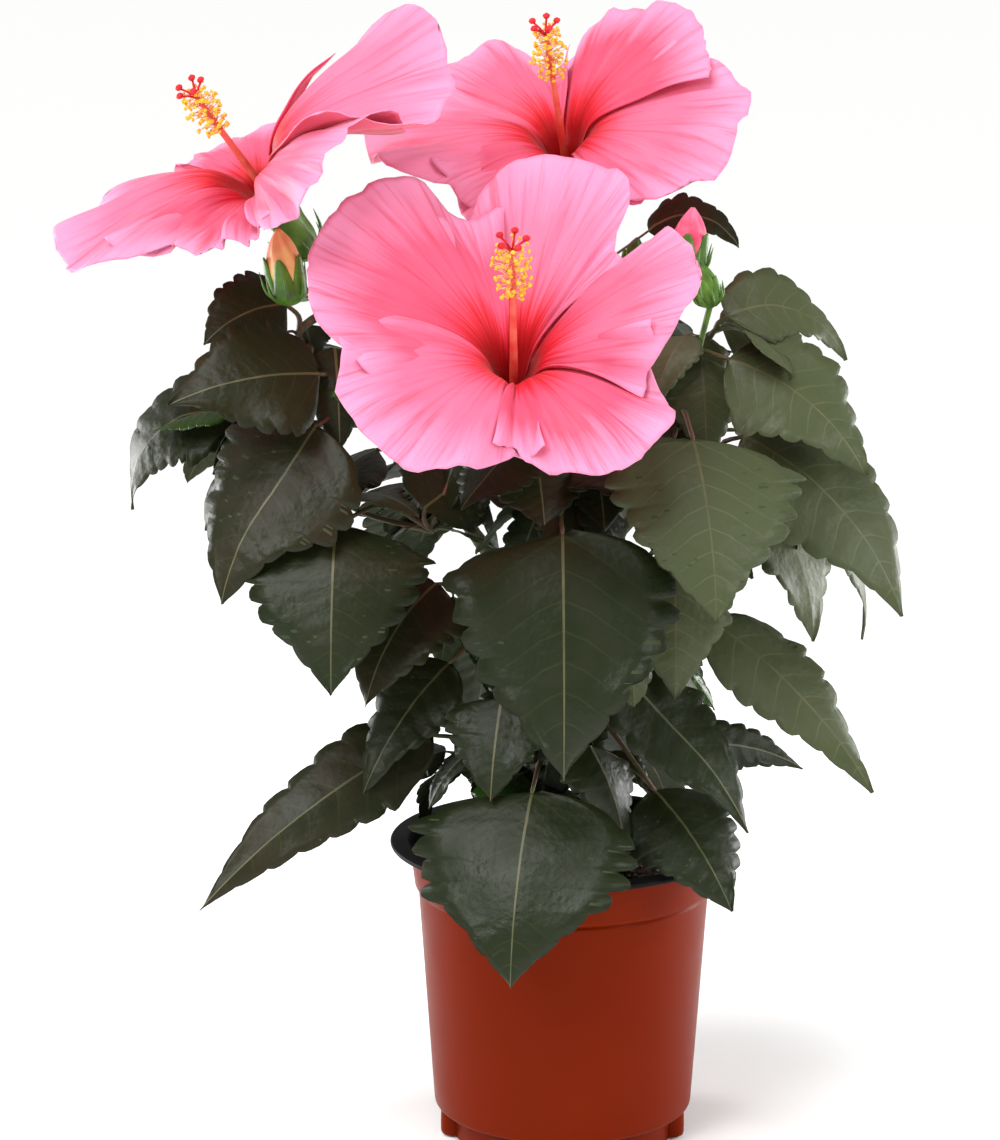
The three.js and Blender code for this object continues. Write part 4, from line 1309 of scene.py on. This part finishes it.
class HIBISCUS_OT_blooms(bpy.types.Operator):
    """Build the petals, calyx and column of every bloom"""

    bl_idname = "hibiscus.blooms"
    bl_label = "Blooms"

    def execute(self, context):
        settings = context.scene.hibiscus_bloom
        for n, (name, angles) in enumerate(PETALS.items()):
            dealt = random.Random(n + 31)
            column = name.replace("bloom", "column")
            foot, axis, length = read_column(column)
            base, upper, right = bloom_axes(foot, axis)
            lines = read_corolla(name, foot, axis)
            for which in range(len(angles)):
                petal = petal_shape(lines, (base, axis, upper, right), angles, which, settings,
                                    n * 5 + which + 1)
                petal.piece(f"{name}_petal_{which + 1}",
                            [FINISH["petal"], FINISH["petal_back"]], "petal",
                            [name] if which == 0 else ())
            self.calyx(name, base, axis, upper, right)
            self.column(column, foot, axis, length, settings, dealt)
        return {"FINISHED"}

    def calyx(self, name, base, axis, upper, right):
        """Green cup of five pointed sepals on its stalk, with a frill of narrow bracts below it."""
        shape = Shape()
        rows, inner = [], []
        for r in range(CALYX_ROWS + 1):
            v = r / CALYX_ROWS
            row = []
            for k in range(CUP_SIDES):
                turn = 2 * math.pi * k / CUP_SIDES
                lobe = abs(math.cos(SEPALS / 2 * turn)) ** 0.8
                up = CALYX_BASE + CALYX_HEIGHT * v + SEPAL_POINT * lobe * smooth(0.45, 1, v)
                radius = interpolate(*CALYX_PROFILE, v) + 1.3 * smooth(0.6, 1, v) * lobe
                row.append(base + (axis * up + around(upper, right, turn) * radius) * MM)
            rows.append(row)
            inner.append([p - (p - base - axis * (p - base).dot(axis)).normalized()
                          * CALYX_WALL * MM for p in row])
        shape.grid(rows + inner[::-1], 0, closed=True, flip=True)
        for k in range(CALYX_BRACTS):
            flat = around(upper, right, 2 * math.pi * k / CALYX_BRACTS + 0.3)
            start = base + (axis * -22 + flat * 3) * MM
            bend = start + (axis * 5 + flat * 5.5) * MM
            end = start + (axis * 13 + flat * 7.5) * MM
            bract(shape, [start, bend, end], 0.95)
        footstalk(shape, limb_lines(), base - axis * CALYX_FOOT * MM, axis, 0.6, 0, 1.7, 12)
        shape.piece(name + "_calyx", [FINISH["calyx"]], "leaf")

    def column(self, name, foot, axis, length, settings, dealt):
        """Fleshy stalk with a brush of anthers and five velvet stigma pads."""
        upper = axis.orthogonal().normalized()
        right = axis.cross(upper)
        shape = Shape()
        crown = length * CROWN_SHARE
        steps = range(COLUMN_ROWS + 1)
        path = [foot + axis * (crown * i / COLUMN_ROWS - 2 * MM) for i in steps]
        # The foot widens to where it is joined to the petals, and hides the cup below.
        radii = [(1.7 - 0.85 * i / COLUMN_ROWS + 3.0 * math.exp(-(i / 1.3) ** 2)) * MM
                 for i in steps]
        shape.tube(path, radii, 14, 0, lambda spot, i: 0.08 * rough(spot, 2 * MM, 2))
        for i in range(settings.anthers):
            share = ANTHER_START + ANTHER_SPAN * (i + 0.5) / settings.anthers
            from_middle = abs(share - ANTHER_START - ANTHER_SPAN / 2) / (ANTHER_SPAN / 2)
            flat = around(upper, right, i * GOLDEN_ANGLE + dealt.uniform(-0.3, 0.3))
            start = foot + axis * length * share + flat * 0.7 * MM
            reach = dealt.uniform(3.4, 7.6) * MM * (1 - 0.35 * from_middle)
            aim = (flat + axis * dealt.uniform(0.1, 0.7)).normalized()
            end = start + aim * reach
            shape.tube([start, start.lerp(end, 0.55) + axis * 0.15 * MM, end],
                       [0.24 * MM, 0.18 * MM, 0.15 * MM], 5, 4)
            across = aim.cross(axis).normalized()
            size = dealt.uniform(0.6, 0.85) * MM
            shape.lump(end, [across * size * 1.25, aim * size * 0.8, across.cross(aim) * size],
                       i * 0.7, 2, rings=4, sides=8, wobble=0.25)
        for k in range(STYLES):
            flat = around(upper, right, 2 * math.pi * k / STYLES + 0.5)
            start = foot + axis * (crown - 2.5 * MM)
            end = start + axis * 5.0 * MM + flat * 4.8 * MM
            shape.tube([start, start.lerp(end, 0.5) + axis * 0.6 * MM, end],
                       [0.5 * MM, 0.42 * MM, 0.4 * MM], 7, 3)
            across = axis.cross(flat)
            shape.lump(end + axis * 0.4 * MM, [flat * 1.35 * MM, across * 1.35 * MM, axis * MM],
                       k * 2.1, 3, rings=6, sides=12, wobble=0.12)
        shape.piece(name + "_parts", [FINISH["column"], FINISH["column"], FINISH["anther"],
                                      FINISH["stigma"], FINISH["filament"]], "stamen", [name])


# ------------------------------------------------------------------ buds

# Each bud: the frame's part it stands by, its foot from that part's box (as shares of the box,
# then millimetres added), its lean, length and half width in millimetres, and its finish.
BUDS = {
    "fading_bud": ("column_left", (1, 1, 0), (5, -27, -30), (-0.14, -0.22, 1), 27, 6.6, "cream"),
    "green_bud": ("shoot_right_top", (0, 0.5, 1), (17, -7, -7), (-0.3, -0.1, 1), 16, 4.4, "calyx"),
    "spent_bloom": ("bloom_front", (1, 1, 1), (-3, 11, -43), (0.1, -0.1, 1), 24, 6.6, "spent"),
    "rear_bud": ("shoot_rear_high", (0.7, 0.2, 1), (0, 0, 2), (0.2, 0.3, 1), 15, 4.2, "calyx"),
}


# Shares of the way up a bud's furled petals and up its sepals, and the radius there as a share
# of the bud's half width.
FURL_PROFILE = ([0, 0.2, 0.5, 0.8, 1], [0.5, 0.86, 0.9, 0.55, 0.12])
SEPAL_PROFILE = ([0, 0.12, 0.4, 0.75, 1], [0.2, 0.62, 1.0, 1.06, 0.98])
FURL_ROWS, SEPAL_ROWS, BRACTS = 24, 14, 8
FURL_FOOT = 0.12                  # height at which the furled petals start, as a share


class HIBISCUS_OT_buds(bpy.types.Operator):
    """Build the furled buds with their sepals, bracts and stalks"""

    bl_idname = "hibiscus.buds"
    bl_label = "Buds"

    def execute(self, context):
        lines = limb_lines()
        for n, (name, (node, share, offset, lean, tall, half, finish)) in enumerate(BUDS.items()):
            foot = beside(node, share, offset)
            axis = Vector(lean).normalized()
            upper = axis.orthogonal().normalized()
            right = axis.cross(upper)
            shape = Shape()

            def ring(up, radius, fold=0.0, twist=0.0):
                """Ring round the bud's axis at a height and of a radius in millimetres."""
                row = []
                for k in range(CUP_SIDES):
                    turn = 2 * math.pi * k / CUP_SIDES
                    out = radius * (1 + fold * math.sin(SEPALS * turn + twist))
                    row.append(foot + (axis * up + around(upper, right, turn) * out) * MM)
                return row

            # Furled petals, twisted round one another, drawn in to a ragged point.
            rows = []
            for r in range(FURL_ROWS + 1):
                v = r / FURL_ROWS
                up = tall * (FURL_FOOT + (1 - FURL_FOOT) * v)
                wide = half * interpolate(*FURL_PROFILE, v)
                rows.append(ring(up, wide, 0.13 * smooth(0.2, 0.9, v), 5 * v + n))
            shape.grid([ring(tall * FURL_FOOT, 0.1)] + rows + [ring(tall, 0.05)], 1,
                       closed=True, flip=True)
            # Cup of five sepals that clasps the petals.
            rows, inner = [], []
            for r in range(SEPAL_ROWS + 1):
                v = r / SEPAL_ROWS
                row, back = [], []
                for k in range(CUP_SIDES):
                    turn = 2 * math.pi * k / CUP_SIDES
                    lobe = abs(math.cos(SEPALS / 2 * turn)) ** 0.9
                    up = tall * (-0.04 + 0.36 * v + 0.34 * lobe * smooth(0.3, 1, v))
                    out = half * interpolate(*SEPAL_PROFILE, v)
                    out += 0.5 * math.cos(SEPALS * turn) * v
                    flat = around(upper, right, turn)
                    row.append(foot + (axis * up + flat * out) * MM)
                    back.append(foot + (axis * up + flat * max(0.1, out - 0.5)) * MM)
                rows.append(row)
                inner.append(back)
            shape.grid(rows + inner[::-1], 0, closed=True, flip=True)
            for k in range(BRACTS):
                flat = around(upper, right, 2 * math.pi * k / BRACTS + n)
                start = foot + flat * half * 0.3 * MM
                bend = foot + (axis * tall * 0.16 + flat * half * 1.15) * MM
                end = foot + (axis * tall * 0.46 + flat * half * 1.4) * MM
                bract(shape, [start, bend, end], 0.9)
            footstalk(shape, lines, foot, axis, 0.5, 1, 1.1, 8)
            shape.piece(name, [FINISH["calyx"], FINISH[finish]], "leaf")
        return {"FINISHED"}


# ------------------------------------------------------------------ stage

FLOOR_REACH = 200.0               # metres from the pot to the floor's edge
AIR_STRENGTH = 0.3
SKY_SPREAD = 40                   # degrees of sky that the wide light above fills
FOCAL_LENGTH = 96.1               # millimetres, on a sensor 36 mm high
CAMERA_PLACE = (0.0, -1.1, 0.4328)    # metres
CAMERA_TURN = (78.79, 0.0, 1.24)    # degrees
SKY_TILT = (-0.28, -0.3, 1)       # direction that the wide light comes from
LAMP_AIM = (0, 0, 0.22)           # the middle of the crown, in metres
# Each soft lamp: its place and its size in metres, and its power as a share of the key light's.
LAMPS = (
    ("key_light", (-0.7, -1.0, 1.0), 0.5, 1),
    ("fill_light", (1.0, -0.55, 0.75), 0.6, 0.9),
    ("left_rim", (-0.75, 0.4, 0.25), 0.45, 0.7),
    ("right_rim", (0.75, 0.4, 0.25), 0.45, 0.7),
)


class HIBISCUS_OT_stage(bpy.types.Operator):
    """Lay the floor, hang the lights and set the camera"""

    bl_idname = "hibiscus.stage"
    bl_label = "Stage"

    def execute(self, context):
        scene = context.scene
        settings = scene.hibiscus_stage
        floor = bpy.data.meshes.new("floor")
        floor.from_pydata([(x * FLOOR_REACH, y * FLOOR_REACH, 0)
                           for x, y in ((-1, -1), (1, -1), (1, 1), (-1, 1))], [], [(0, 1, 2, 3)])
        ground = bpy.data.objects.new("floor", floor)
        scene.collection.objects.link(ground)
        floor.materials.append(grainy(
            "painted_floor", tuple(settings.floor_color), "#f8f8f7", 0.9, 25, 0.05))

        world = bpy.data.worlds.new("studio_air")
        scene.world = world
        world.use_nodes = True
        world.node_tree.nodes["Background"].inputs["Color"].default_value = linear("#ffffff")
        world.node_tree.nodes["Background"].inputs["Strength"].default_value = AIR_STRENGTH
        scene.view_settings.view_transform = "Standard"

        sky = bpy.data.lights.new("overhead_softbox", "SUN")
        sky.energy = settings.overhead
        sky.angle = math.radians(SKY_SPREAD)
        hung = bpy.data.objects.new("overhead_softbox", sky)
        hung.rotation_euler = Vector(SKY_TILT).to_track_quat("Z", "Y").to_euler()
        scene.collection.objects.link(hung)

        for name, place, reach, share in LAMPS:
            lamp = bpy.data.lights.new(name, "AREA")
            lamp.shape = "DISK"
            lamp.size = reach
            lamp.energy = settings.key_power * share
            hung = bpy.data.objects.new(name, lamp)
            hung.location = place
            aim = Vector(LAMP_AIM) - Vector(place)
            hung.rotation_euler = aim.to_track_quat("-Z", "Y").to_euler()
            scene.collection.objects.link(hung)

        lens = bpy.data.cameras.new("camera")
        lens.sensor_fit = "VERTICAL"
        lens.sensor_height = 36.0
        lens.lens = FOCAL_LENGTH
        lens.clip_end = 500.0
        camera = bpy.data.objects.new("camera", lens)
        camera.location = CAMERA_PLACE
        camera.rotation_euler = [math.radians(turn) for turn in CAMERA_TURN]
        scene.collection.objects.link(camera)
        scene.camera = camera
        return {"FINISHED"}


# ------------------------------------------------------------------ add-on

OPERATORS = (HIBISCUS_OT_pot, HIBISCUS_OT_soil, HIBISCUS_OT_wood, HIBISCUS_OT_leaves,
             HIBISCUS_OT_blooms, HIBISCUS_OT_buds, HIBISCUS_OT_stage)
SETTINGS = (("hibiscus_pot", HibiscusPotSettings), ("hibiscus_leaf", HibiscusLeafSettings),
            ("hibiscus_bloom", HibiscusBloomSettings), ("hibiscus_stage", HibiscusStageSettings))


class HIBISCUS_PT_panel(bpy.types.Panel):
    bl_idname = "HIBISCUS_PT_panel"
    bl_label = "Potted hibiscus"
    bl_space_type = "VIEW_3D"
    bl_region_type = "UI"
    bl_category = "Hibiscus"

    def draw(self, context):
        for name, group in SETTINGS:
            for key in group.__annotations__:
                self.layout.prop(getattr(context.scene, name), key)
        for operator in OPERATORS:
            self.layout.operator(operator.bl_idname)


def register():
    for name, group in SETTINGS:
        bpy.utils.register_class(group)
        setattr(bpy.types.Scene, name, bpy.props.PointerProperty(type=group))
    for made in (*OPERATORS, HIBISCUS_PT_panel):
        bpy.utils.register_class(made)


def unregister():
    for made in reversed((*OPERATORS, HIBISCUS_PT_panel)):
        bpy.utils.unregister_class(made)
    for name, group in reversed(SETTINGS):
        delattr(bpy.types.Scene, name)
        bpy.utils.unregister_class(group)


def main():
    register()
    make_finishes(bpy.context.scene)
    for operator in OPERATORS:
        group, call = operator.bl_idname.split(".")
        if getattr(getattr(bpy.ops, group), call)() != {"FINISHED"}:
            raise RuntimeError(operator.bl_label + " was not built")


if __name__ == "__main__":
    main()
